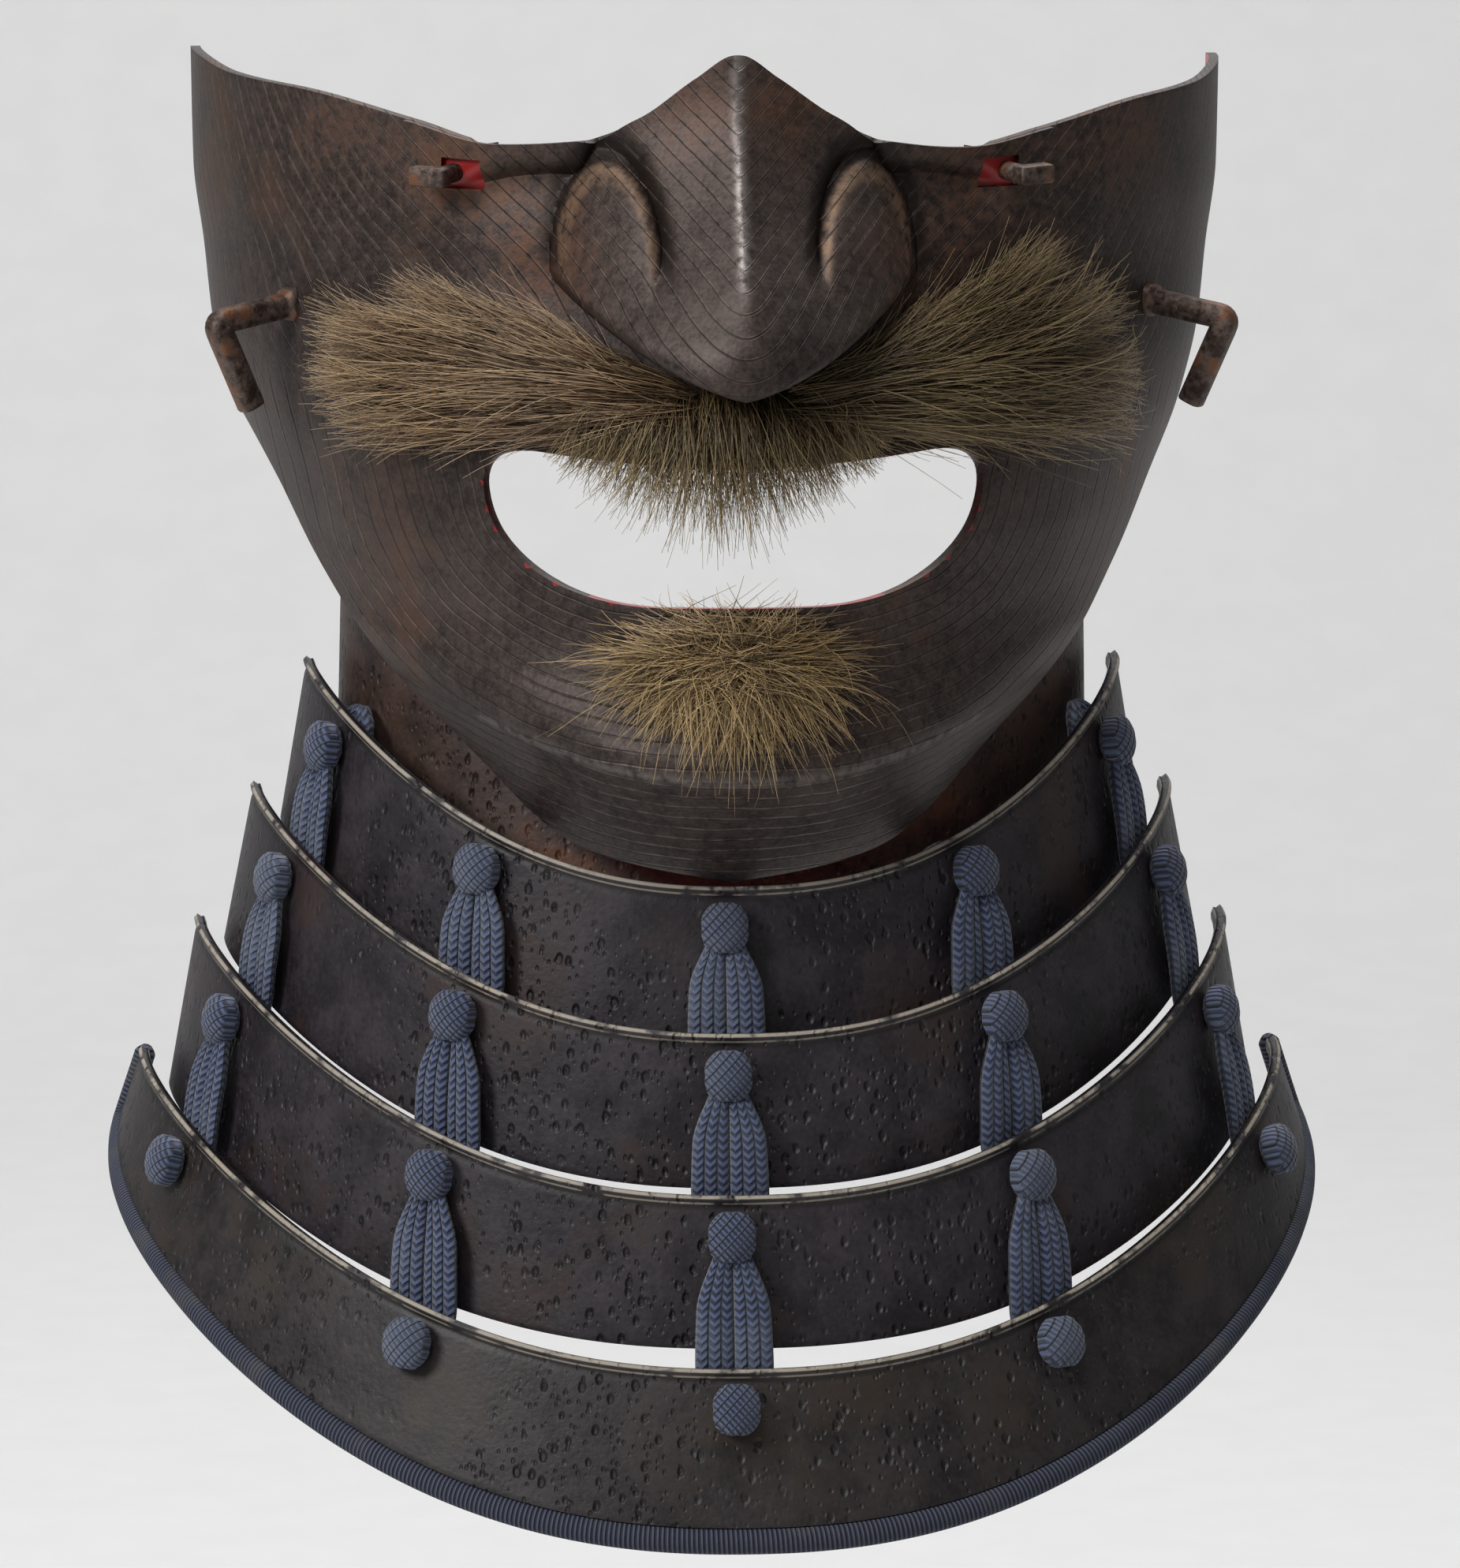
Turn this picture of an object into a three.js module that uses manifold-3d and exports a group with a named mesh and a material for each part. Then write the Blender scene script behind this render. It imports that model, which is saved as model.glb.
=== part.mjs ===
// Iron half-mask (mempo) with a detachable nose plate and a laced throat guard of five lames.
// Millimetres. +Z is up, the mask looks along -Y, and the origin is where the wearer's chin sits.
import * as THREE from 'three';
import { mergeVertices } from 'three/addons/utils/BufferGeometryUtils.js';
import Module from 'manifold-3d';

const wasm = await Module();
wasm.setup();

// ---------- driving dimensions ----------
const MASK_WALL = 1.6;
const CREASE_HEIGHT = 10.8;       // of the chin's crease at its middle
const PLATE_WALL = 1.5;
const PLATE_GAP = 0.95;           // between the mask and the nose plate that lies over it
const PLATE_HALF_WIDTH = 50.2;
const PLATE_BOTTOM = 66.5;
const PLATE_SIDE_RISE = 29;       // how much higher the plate's lower edge is at its sides
const NOTCH_HALF_WIDTH = 37;      // the mask is open behind the nose
const NOTCH_BOTTOM = 72;
const LAME_WALL = 1.6;
const LACE_HOLE_DROP = 6.5;       // from a lame's top edge to its lace holes
const LACE_HOLE_RADIUS = 2.3;
const LACE_GAP = 0.5;
const BINDING_RADIUS = 1.9;
const PIN = { x: 43, z: 103.2, shaft: 1.5, arm: 4.6, armWidth: 3, armLift: 1.5 };
const PEG = { x: 68.5, z: 80.6, radius: 1.8, shank: 1.2, reach: 13.7, drop: 2.7 };
const RUNNING_GAP = 0.35;
const HEAD_GAP = 1.15;            // between the mask's inner face and a rivet head

const IRON = { color: 0x3a302c, roughness: 0.55, metalness: 0.7 };
const RUSTED_IRON = { color: 0x4a3a32, roughness: 0.65, metalness: 0.6 };
const LACQUER = { color: 0x241f1e, roughness: 0.4, metalness: 0.1 };
const SILK = { color: 0x26304e, roughness: 0.85, metalness: 0 };
const HAIR = { color: 0x6b552f, roughness: 0.8, metalness: 0 };

// The front line of the face seen from the side, without the nose.
const FRONT_ROWS = [
  { z: -9, depth: 82.5 },
  { z: -2, depth: 90 },
  { z: 4, depth: 96.6 },
  { z: 9, depth: 102.2 },
  { z: 10.8, depth: 104 },
  { z: 13, depth: 104.2 },
  { z: 17, depth: 102.5 },
  { z: 24, depth: 98 },
  { z: 31, depth: 96 },
  { z: 38, depth: 96 },
  { z: 48, depth: 97 },
  { z: 60, depth: 95.5 },
  { z: 72, depth: 90.5 },
  { z: 90, depth: 86 },
  { z: 108, depth: 86.5 },
  { z: 125, depth: 89 },
];
// Half the width of the face at each height, where its sides would meet the rear edge.
const SIDE_ROWS = [
  { z: -9, half: 52.5 },
  { z: 8, half: 54.2 },
  { z: 22, half: 61.9 },
  { z: 31, half: 66.9 },
  { z: 39, half: 70.1 },
  { z: 51, half: 73.7 },
  { z: 64, half: 78.2 },
  { z: 74, half: 80.6 },
  { z: 87, half: 82 },
  { z: 100, half: 83.6 },
  { z: 125, half: 84 },
];
// The upper edge: the peak over the nose, the dip under each eye and the tip at each temple.
const TOP_ROWS = [
  { x: 0, z: 122.4 },
  { x: 5, z: 120.8 },
  { x: 12.8, z: 115.8 },
  { x: 23.9, z: 109.4 },
  { x: 36.9, z: 107.9 },
  { x: 49.5, z: 110.8 },
  { x: 65.7, z: 114.5 },
  { x: 78, z: 116 },
  { x: 84, z: 118.5 },
];
// The lower edge along the jaw, by the angle round the face from its front.
const JAW_ROWS = [
  { angle: 0, z: -7.4 },
  { angle: 25.6, z: -2.9 },
  { angle: 44.2, z: 8.6 },
  { angle: 57, z: 22.1 },
  { angle: 66.7, z: 39.3 },
  { angle: 73.1, z: 50.9 },
  { angle: 80, z: 59.5 },
  { angle: 90, z: 65 },
];
// The nose: how far its ridge stands out, its half width at the root and how full its sides are.
const NOSE_ROWS = [
  { z: 68, ridge: 25, root: 27.4, fullness: 0.58 },
  { z: 78, ridge: 28, root: 27.4, fullness: 0.58 },
  { z: 84, ridge: 26.5, root: 27.4, fullness: 0.6 },
  { z: 92, ridge: 21, root: 27.2, fullness: 0.66 },
  { z: 100, ridge: 14.5, root: 26, fullness: 0.8 },
  { z: 108, ridge: 9.5, root: 24, fullness: 1.1 },
  { z: 116, ridge: 6, root: 22, fullness: 1.3 },
  { z: 125, ridge: 3.5, root: 20, fullness: 1.4 },
];
// Rings that the lames' edges lie on, top to bottom. rise is how much higher the rear ends are.
const RING_ROWS = [
  { ring: -1, half: 60, rear: -24, front: -67, z: -2, rise: 50 },
  { ring: 0, half: 65.8, rear: -20, front: -87, z: -7.6, rise: 28.3 },
  { ring: 1, half: 74.5, rear: -18, front: -96, z: -29.4, rise: 29.4 },
  { ring: 2, half: 83.8, rear: -16, front: -104, z: -53.5, rise: 31.4 },
  { ring: 3, half: 93, rear: -14, front: -113, z: -79.1, rise: 34.8 },
  { ring: 4, half: 99.3, rear: -12, front: -119.4, z: -102.9, rise: 39.5 },
];
const RISE_POWER = 2.4;
// Each lame: its top ring, how far its lower edge stays inside the next ring down, at its sides
// and at its front, and how much higher than that ring it ends at its front and at its sides.
const LAME_ROWS = [
  { name: 'lame_1', top: -1, inset: 5, frontInset: 15, lift: -10.5, sideLift: -9 },
  { name: 'lame_2', top: 0, inset: 4.2, frontInset: 5.6, lift: -3.4, sideLift: -6 },
  { name: 'lame_3', top: 1, inset: 4.2, frontInset: 5.6, lift: 0, sideLift: -4 },
  { name: 'lame_4', top: 2, inset: 4.2, frontInset: 5.6, lift: 2, sideLift: -6 },
  { name: 'lame_5', top: 3, inset: 0, frontInset: 0, lift: 0, sideLift: 0 },
];
// Lace columns, by their angle round the guard. drift is how the angle changes from lame to lame.
const COLUMN_ROWS = [
  { name: 'left_outer', angle: -67, drift: 0 },
  { name: 'left_inner', angle: -35.5, drift: 1 },
  { name: 'centre', angle: -1.5, drift: 0.2 },
  { name: 'right_inner', angle: 33.8, drift: -0.9 },
  { name: 'right_outer', angle: 67, drift: 0 },
];
// Locks of the moustache, each from its root to its tip across the front view. The first is the
// band that the others are tied to.
const MOUSTACHE_LOCKS = [
  { x: -17, z: 67, bendX: 0, bendZ: 62, tipX: 17, tipZ: 67, root: 2.6, body: 2.8, end: 2.6 },
  { x: -8, z: 67.5, bendX: -27, bendZ: 75.5, tipX: -48, tipZ: 84, root: 2.4, body: 4, end: 2 },
  { x: -6, z: 66.5, bendX: -32, bendZ: 73.5, tipX: -58, tipZ: 78, root: 2.6, body: 4.6, end: 2.6 },
  { x: -6, z: 66.5, bendX: -34, bendZ: 69, tipX: -59, tipZ: 70.5, root: 2.8, body: 4.8, end: 2.6 },
  { x: -5, z: 65, bendX: -30, bendZ: 63.5, tipX: -56, tipZ: 64, root: 2.6, body: 3.8, end: 2.2 },
  { x: 8, z: 67.5, bendX: 27, bendZ: 74.5, tipX: 47, tipZ: 90, root: 2.4, body: 4, end: 2 },
  { x: 7, z: 66.5, bendX: 33, bendZ: 74, tipX: 56, tipZ: 81, root: 2.6, body: 4.8, end: 2.6 },
  { x: 6, z: 66.5, bendX: 35, bendZ: 70, tipX: 60, tipZ: 70, root: 2.8, body: 5, end: 2.6 },
  { x: 5, z: 65, bendX: 30, bendZ: 63.5, tipX: 59, tipZ: 63, root: 2.6, body: 3.8, end: 2.2 },
  { x: 0, z: 65, bendX: -1, bendZ: 57, tipX: 1, tipZ: 48.5, root: 2.8, body: 3.8, end: 1.2 },
  { x: -5, z: 65, bendX: -8, bendZ: 59, tipX: -11, tipZ: 54, root: 2.6, body: 3.4, end: 1.2 },
  { x: 5, z: 65, bendX: 8, bendZ: 59, tipX: 11, tipZ: 54, root: 2.6, body: 3.4, end: 1.2 },
];
const HAIR_GAP = 0.6;
const TUFT = { z: 26, halfWidth: 19.5, down: 12, up: 8, locks: 8, root: 3.6, body: 4.2, end: 1.4 };

// ---------- tables, solids and shells ----------

// A smooth curve through one column of a table that never overshoots its rows.
function smoothColumn(rows, key, column) {
  const at = rows.map((row) => row[key]);
  const value = rows.map((row) => row[column]);
  const last = rows.length - 1;
  const chord = at.slice(1).map((next, i) => (value[i + 1] - value[i]) / (next - at[i]));
  const slope = value.map((_, i) => {
    if (i === 0) return chord[0];
    if (i === last) return chord[last - 1];
    const product = chord[i - 1] * chord[i];
    return product <= 0 ? 0 : (2 * product) / (chord[i - 1] + chord[i]);
  });
  return (place) => {
    const here = THREE.MathUtils.clamp(place, at[0], at[last]);
    let i = 0;
    while (i < last - 1 && here > at[i + 1]) i += 1;
    const span = at[i + 1] - at[i];
    const t = (here - at[i]) / span;
    const start = (1 + 2 * t) * (1 - t) ** 2 * value[i] + t * (1 - t) ** 2 * span * slope[i];
    const end = t * t * (3 - 2 * t) * value[i + 1] - t * t * (1 - t) * span * slope[i + 1];
    return start + end;
  };
}

function solidOf(geometry) {
  const bare = geometry.clone();
  bare.deleteAttribute('normal');
  bare.deleteAttribute('uv');
  const merged = mergeVertices(bare, 1e-4);
  return new wasm.Manifold(new wasm.Mesh({
    numProp: 3,
    vertProperties: new Float32Array(merged.attributes.position.array),
    triVerts: new Uint32Array(merged.index.array),
  }));
}

function geometryOf(solid) {
  const mesh = solid.getMesh();
  const geometry = new THREE.BufferGeometry();
  geometry.setAttribute('position', new THREE.BufferAttribute(mesh.vertProperties.slice(), 3));
  geometry.setIndex(new THREE.BufferAttribute(mesh.triVerts.slice(), 1));
  geometry.computeVertexNormals();
  return geometry;
}

function joined(solids) {
  return solids.reduce((whole, next) => whole.add(next));
}

function cut(solid, cutters) {
  return cutters.reduce((rest, cutter) => rest.subtract(cutter), solid);
}

// The outward normal of a surface that is given as a point at (across, down), each 0 to 1.
function normalAt(pointAt, across, down) {
  const step = 1e-3;
  const right = pointAt(Math.min(across + step, 1), down).sub(pointAt(Math.max(across - step, 0), down));
  const below = pointAt(across, Math.min(down + step, 1)).sub(pointAt(across, Math.max(down - step, 0)));
  return below.cross(right).normalize();
}

// A wall of even thickness behind a surface, as one closed body.
function wallOf(pointAt, columns, rows, wall, gap = 0) {
  const points = [];
  const index = [];
  const stride = (columns + 1) * (rows + 1);
  for (const depth of [gap, gap - wall]) {
    for (let j = 0; j <= rows; j += 1) {
      for (let i = 0; i <= columns; i += 1) {
        const normal = normalAt(pointAt, i / columns, j / rows);
        points.push(pointAt(i / columns, j / rows).addScaledVector(normal, depth));
      }
    }
  }
  const outer = (i, j) => j * (columns + 1) + i;
  const inner = (i, j) => outer(i, j) + stride;
  const quad = (a, b, c, d) => index.push(a, b, c, a, c, d);
  for (let j = 0; j < rows; j += 1) {
    for (let i = 0; i < columns; i += 1) {
      quad(outer(i, j), outer(i, j + 1), outer(i + 1, j + 1), outer(i + 1, j));
      quad(inner(i, j), inner(i + 1, j), inner(i + 1, j + 1), inner(i, j + 1));
    }
  }
  for (let i = 0; i < columns; i += 1) {
    quad(outer(i, 0), outer(i + 1, 0), inner(i + 1, 0), inner(i, 0));
    quad(outer(i + 1, rows), outer(i, rows), inner(i, rows), inner(i + 1, rows));
  }
  for (let j = 0; j < rows; j += 1) {
    quad(outer(0, j + 1), outer(0, j), inner(0, j), inner(0, j + 1));
    quad(outer(columns, j), outer(columns, j + 1), inner(columns, j + 1), inner(columns, j));
  }
  return closedBody(points, index);
}

// A body from its points and triangles, turned the right way out.
function closedBody(points, index) {
  let volume = 0;
  for (let k = 0; k < index.length; k += 3) {
    const [a, b, c] = [points[index[k]], points[index[k + 1]], points[index[k + 2]]];
    volume += a.dot(b.clone().cross(c));
  }
  const geometry = new THREE.BufferGeometry().setFromPoints(points);
  geometry.setIndex(volume > 0 ? index : index.slice().reverse());
  return geometry;
}

// A closed body through rings of points, with a flat cap on its first and last ring.
function loftOf(rings) {
  const sides = rings[0].length;
  const points = rings.flat();
  const index = [];
  for (let k = 0; k < rings.length - 1; k += 1) {
    for (let i = 0; i < sides; i += 1) {
      const a = k * sides + i;
      const b = k * sides + ((i + 1) % sides);
      index.push(a, b, b + sides, a, b + sides, a + sides);
    }
  }
  for (let i = 1; i < sides - 1; i += 1) {
    index.push(0, i + 1, i);
    const last = (rings.length - 1) * sides;
    index.push(last, last + i, last + i + 1);
  }
  return closedBody(points, index);
}

// An outline in the front view, given as (x, z), pushed through from front to back.
function frontCutter(shape, front, rear, curveSteps) {
  const geometry = new THREE.ExtrudeGeometry(shape, {
    depth: rear - front,
    bevelEnabled: false,
    curveSegments: curveSteps,
  });
  geometry.rotateX(Math.PI / 2);
  geometry.translate(0, rear, 0);
  return solidOf(geometry);
}

// Places a geometry that is built along +Y at a point, pointing along a direction.
function aimed(geometry, point, direction) {
  const up = new THREE.Vector3(0, 1, 0);
  const turn = new THREE.Quaternion().setFromUnitVectors(up, direction.clone().normalize());
  return geometry.applyQuaternion(turn).translate(point.x, point.y, point.z);
}

function rod(from, to, radius, sides) {
  const along = to.clone().sub(from);
  const geometry = new THREE.CylinderGeometry(radius, radius, along.length(), sides);
  return solidOf(aimed(geometry, from.clone().addScaledVector(along, 0.5), along));
}

// ---------- the face ----------

const frontDepth = smoothColumn(FRONT_ROWS, 'z', 'depth');
const halfWidth = smoothColumn(SIDE_ROWS, 'z', 'half');
const topEdge = smoothColumn(TOP_ROWS, 'x', 'z');
const jawEdge = smoothColumn(JAW_ROWS, 'angle', 'z');
const ridgeHeight = smoothColumn(NOSE_ROWS, 'z', 'ridge');
const noseRoot = smoothColumn(NOSE_ROWS, 'z', 'root');
const noseFullness = smoothColumn(NOSE_ROWS, 'z', 'fullness');
const { lerp, smoothstep } = THREE.MathUtils;

// The chin's crease rises towards the jaw, and the rise fades out above the mouth.
function chinRise(side, z) {
  return 4.5 * (side / 0.55) ** 2.5 * (1 - smoothstep(z, 24, 50));
}

// The hollow under each eye that sweeps from the cheek round the wing of the nose.
function eyeHollow(x, z) {
  const out = Math.abs(x);
  const above = z - (103.5 - 0.013 * (out - 27) ** 2);
  const reach = smoothstep(out, 14, 24) * (1 - smoothstep(out, 35, 46));
  return 2.6 * reach * Math.exp(-((above / (above > 0 ? 1.8 : 8)) ** 2));
}

// The face without its nose, at a place across the front view.
function faceFront(x, z) {
  const side = Math.min(Math.abs(x) / halfWidth(z), 1);
  const round = Math.sqrt(1 - side * side);
  return -frontDepth(z - chinRise(side, z)) * round + eyeHollow(x, z);
}

// The lower line of the nose, from its tip out to its wings.
function noseFoot(x) {
  return 71 + 0.24 * Math.abs(x) + 0.0138 * x * x;
}

// How far the nose stands out: a sharp ridge, full sides, and a groove round each wing.
function noseHeight(x, z) {
  const out = Math.abs(x);
  const foot = smoothstep(z, noseFoot(x) - 0.5, noseFoot(x) + 1.5);
  const side = Math.max(0, 1 - out / noseRoot(z));
  const wing = Math.hypot((out - 20) / 7.2, (z - 91) / 14);
  const dome = 2.5 * Math.sqrt(Math.max(0, 1 - wing * wing));
  const groove = 2.4 * Math.exp(-(((wing - 1.16) / 0.24) ** 2)) * smoothstep(z, 85, 94);
  const inside = smoothstep(side, 0, 0.12);
  return foot * (ridgeHeight(z) * side ** noseFullness(z) + (dome - groove) * inside);
}

// The mask's rows, and the share of them that lies above the chin's crease.
const MASK_ROWS = 13;
const CREASE_SHARE = 11 / MASK_ROWS;

function maskPoint(across, down) {
  const angle = (across - 0.5) * Math.PI;
  const side = Math.sin(angle);
  const top = topEdge(84 * Math.abs(side));
  const bottom = jawEdge(Math.abs(THREE.MathUtils.radToDeg(angle)));
  const crease = Math.max(CREASE_HEIGHT + chinRise(Math.abs(side), 0), bottom + 2.5);
  const z = down < CREASE_SHARE
    ? lerp(top, crease, down / CREASE_SHARE)
    : lerp(crease, bottom, (down - CREASE_SHARE) / (1 - CREASE_SHARE));
  const x = halfWidth(z) * side;
  const round = Math.cos(angle);
  const y = -frontDepth(z - chinRise(Math.abs(side), z)) * round + eyeHollow(x, z);
  return new THREE.Vector3(x, y, z);
}

// The line that the nose plate's lower edge follows.
function plateFoot(x) {
  return PLATE_BOTTOM + PLATE_SIDE_RISE * (Math.abs(x) / PLATE_HALF_WIDTH) ** 2.3;
}

// The plate's columns are closer together over the nose, and its rows close in on the nose's foot.
const PLATE_COLUMNS = 30;
const PLATE_ROW_SHARES = [0, 0.14, 0.28, 0.42, 0.56, 0.7, 0.85, 1];

function plateColumn(across) {
  const out = (across - 0.5) * 2;
  return Math.sign(out) * PLATE_HALF_WIDTH * Math.abs(out) ** 1.25;
}

function plateRow(x, row) {
  const top = topEdge(Math.abs(x));
  const bottom = plateFoot(x);
  const foot = Math.min(noseFoot(x), (top + bottom) / 2);
  const last = PLATE_ROW_SHARES.length - 1;
  if (row <= last) {
    const i = Math.min(Math.floor(row), last - 1);
    const share = lerp(PLATE_ROW_SHARES[i], PLATE_ROW_SHARES[i + 1], row - i);
    return lerp(top, foot + 1.5, share);
  }
  if (row <= last + 2) return lerp(foot + 1.5, foot - 0.5, (row - last) / 2);
  return lerp(foot - 0.5, bottom, (row - last - 2) / 2);
}

const PLATE_ROWS = PLATE_ROW_SHARES.length - 1 + 4;

function platePoint(across, down) {
  const x = plateColumn(across);
  const z = plateRow(x, down * PLATE_ROWS);
  return new THREE.Vector3(x, faceFront(x, z) - noseHeight(x, z), z);
}

// A place on the mask's outer surface, and the way out of it there.
function maskFrame(x, z) {
  const point = new THREE.Vector3(x, faceFront(x, z), z);
  const step = 0.3;
  const aside = new THREE.Vector3(2 * step, faceFront(x + step, z) - faceFront(x - step, z), 0);
  const above = new THREE.Vector3(0, faceFront(x, z + step) - faceFront(x, z - step), 2 * step);
  return { point, out: aside.cross(above).normalize() };
}

function mouthShape() {
  const shape = new THREE.Shape();
  shape.moveTo(0, 58.7);
  shape.quadraticCurveTo(14, 59, 31, 60.9);
  shape.bezierCurveTo(37, 61.4, 39.4, 59, 39, 54.6);
  shape.bezierCurveTo(38, 44.5, 28, 37.2, 12, 37.1);
  shape.lineTo(-12, 37.1);
  shape.bezierCurveTo(-28, 37.2, -38, 44.5, -39, 54.6);
  shape.bezierCurveTo(-39.4, 59, -37, 61.4, -31, 60.9);
  shape.quadraticCurveTo(-14, 59, 0, 58.7);
  return shape;
}

// The open notch behind the nose plate.
function notchShape() {
  const high = 140;
  const shape = new THREE.Shape();
  shape.moveTo(-NOTCH_HALF_WIDTH, high);
  shape.lineTo(-NOTCH_HALF_WIDTH, 98);
  shape.bezierCurveTo(-NOTCH_HALF_WIDTH, 84, -24, NOTCH_BOTTOM, 0, NOTCH_BOTTOM);
  shape.bezierCurveTo(24, NOTCH_BOTTOM, NOTCH_HALF_WIDTH, 84, NOTCH_HALF_WIDTH, 98);
  shape.lineTo(NOTCH_HALF_WIDTH, high);
  return shape;
}

function nostrilShape(side) {
  const shape = new THREE.Shape();
  shape.absellipse(side * 17.2, 77.4, 7.4, 2.2, 0, Math.PI * 2, false, side * Math.atan2(8, 11));
  return shape;
}

function mask() {
  const shell = solidOf(wallOf(maskPoint, 30, MASK_ROWS, MASK_WALL));
  const holes = [-1, 1].flatMap((side) => {
    const pin = maskFrame(side * PIN.x, PIN.z);
    const peg = maskFrame(side * PEG.x, PEG.z);
    return [
      boreCutter(pin, PIN.shaft + RUNNING_GAP),
      boreCutter(peg, PEG.shank + RUNNING_GAP),
    ];
  });
  return geometryOf(cut(shell, [
    frontCutter(mouthShape(), -120, -40, 5),
    frontCutter(notchShape(), -120, -30, 6),
    ...holes,
  ]));
}

function boreCutter(frame, radius) {
  const inside = frame.point.clone().addScaledVector(frame.out, -6);
  const outside = frame.point.clone().addScaledVector(frame.out, 6);
  return rod(inside, outside, radius, 8);
}

// The way that a pin's arm points when it is locked: outwards across the cheek.
function armWay(frame, side) {
  const outwards = new THREE.Vector3(side, 0, 0);
  return outwards.addScaledVector(frame.out, -outwards.dot(frame.out)).normalize();
}

// A box in a frame on the mask, from its lower to its upper corner along the arm, up and out.
function framedBox(frame, arm, low, high) {
  const size = high.clone().sub(low);
  const middle = low.clone().addScaledVector(size, 0.5);
  const up = frame.out.clone().cross(arm);
  const turn = new THREE.Matrix4().makeBasis(arm, up, frame.out);
  turn.setPosition(frame.point);
  const box = new THREE.BoxGeometry(size.x, size.y, size.z);
  return solidOf(box.translate(middle.x, middle.y, middle.z).applyMatrix4(turn));
}

// The plate's slots are as long as the arms, so it lifts off once both arms are turned over them.
function nosePlate() {
  const shell = solidOf(wallOf(platePoint, PLATE_COLUMNS, PLATE_ROWS, PLATE_WALL, PLATE_GAP + PLATE_WALL));
  const slots = [-1, 1].map((side) => {
    const frame = maskFrame(side * PIN.x, PIN.z);
    const ends = [-PIN.arm - RUNNING_GAP, PIN.armWidth / 2 + RUNNING_GAP];
    const low = new THREE.Vector3(ends[0], -2.4, -3);
    const high = new THREE.Vector3(ends[1], 2.4, 8);
    return framedBox(frame, armWay(frame, side), low, high);
  });
  const nostrils = [-1, 1].map((side) => frontCutter(nostrilShape(side), -140, -60, 5));
  return geometryOf(cut(shell, [...slots, ...nostrils]));
}

// A shaft through the mask and the plate's slot, with a head inside and a turned arm outside.
function turnPin(side) {
  const frame = maskFrame(side * PIN.x, PIN.z);
  const along = (height) => frame.point.clone().addScaledVector(frame.out, height);
  const armFoot = PLATE_GAP + PLATE_WALL + PIN.armLift;
  const half = PIN.armWidth / 2;
  const low = new THREE.Vector3(-half, -half, armFoot);
  const high = new THREE.Vector3(PIN.arm, half, armFoot + PIN.armWidth);
  return geometryOf(joined([
    rod(along(-MASK_WALL - HEAD_GAP - 1.1), along(-MASK_WALL - HEAD_GAP), 2.8, 8),
    rod(along(-MASK_WALL - HEAD_GAP - 0.5), along(armFoot + 0.5), PIN.shaft, 8),
    framedBox(frame, armWay(frame, side), low, high),
  ]));
}

// A cord peg: it stands out from the cheek and turns down, riveted through the wall.
function cordPeg(side) {
  const frame = maskFrame(side * PEG.x, PEG.z);
  const along = (height) => frame.point.clone().addScaledVector(frame.out, height);
  const corner = along(PEG.reach).add(new THREE.Vector3(0, 0, -PEG.drop));
  const tip = corner.clone().add(new THREE.Vector3(-side * 5.7, 3, -14));
  return geometryOf(joined([
    rod(along(-MASK_WALL - HEAD_GAP - 1), along(-MASK_WALL - HEAD_GAP), 2.4, 8),
    rod(along(-MASK_WALL - HEAD_GAP - 0.5), along(1), PEG.shank, 8),
    rod(along(0.35), corner, PEG.radius, 8),
    rod(corner.clone().add(new THREE.Vector3(0, 0, 1.2)), tip, PEG.radius, 8),
  ]));
}

// ---------- the throat guard ----------

const ringAt = Object.fromEntries(
  ['half', 'rear', 'front', 'z', 'rise'].map((key) => [key, smoothColumn(RING_ROWS, 'ring', key)]),
);

// A point on a ring: inset brings it in at the sides, frontInset at the front.
function ringPoint(ring, angle, inset = 0, frontInset = 0, lift = 0) {
  const round = Math.cos(angle);
  const half = ringAt.half(ring) - inset;
  const rear = ringAt.rear(ring);
  const reach = rear - ringAt.front(ring) - frontInset;
  const rise = ringAt.rise(ring) * Math.abs(Math.sin(angle)) ** RISE_POWER;
  return new THREE.Vector3(half * Math.sin(angle), rear - reach * round, ringAt.z(ring) + lift + rise);
}

// The last lame is cut to a curve, so that its lower corners are round.
function lowerShare(row, angle) {
  if (row.top < 3) return 1;
  const out = Math.abs(angle) / (Math.PI / 2);
  return 1 - 0.42 * out ** 7;
}

function lamePoint(row, across, down) {
  const angle = (across - 0.5) * Math.PI;
  const top = ringPoint(row.top, angle);
  const lift = lerp(row.lift, row.sideLift, Math.sin(angle) ** 2);
  const bottom = ringPoint(row.top + 1, angle, row.inset, row.frontInset, lift);
  return top.lerp(bottom, down * lowerShare(row, angle));
}

function columnAngle(column, lame) {
  return THREE.MathUtils.degToRad(column.angle + column.drift * lame);
}

// A frame on a lame's outer face, a distance below its top edge.
function lameFrame(row, angle, drop) {
  const across = angle / Math.PI + 0.5;
  const surface = (u, v) => lamePoint(row, u, v);
  const top = surface(across, 0);
  const height = surface(across, 1).sub(top).length();
  const down = surface(across, 1).sub(top).normalize();
  const out = normalAt(surface, across, drop / height);
  const point = surface(across, drop / height);
  return { point, out, down, aside: down.clone().cross(out).normalize(), height };
}

function lame(row) {
  const shell = solidOf(wallOf((u, v) => lamePoint(row, u, v), 26, 1, LAME_WALL));
  if (row.top < 0) return geometryOf(shell);
  const holes = COLUMN_ROWS.map((column) => {
    const frame = lameFrame(row, columnAngle(column, row.top), LACE_HOLE_DROP);
    const inside = frame.point.clone().addScaledVector(frame.out, -4);
    const outside = frame.point.clone().addScaledVector(frame.out, 3);
    return rod(inside, outside, LACE_HOLE_RADIUS, 6);
  });
  return geometryOf(cut(shell, holes));
}

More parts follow.
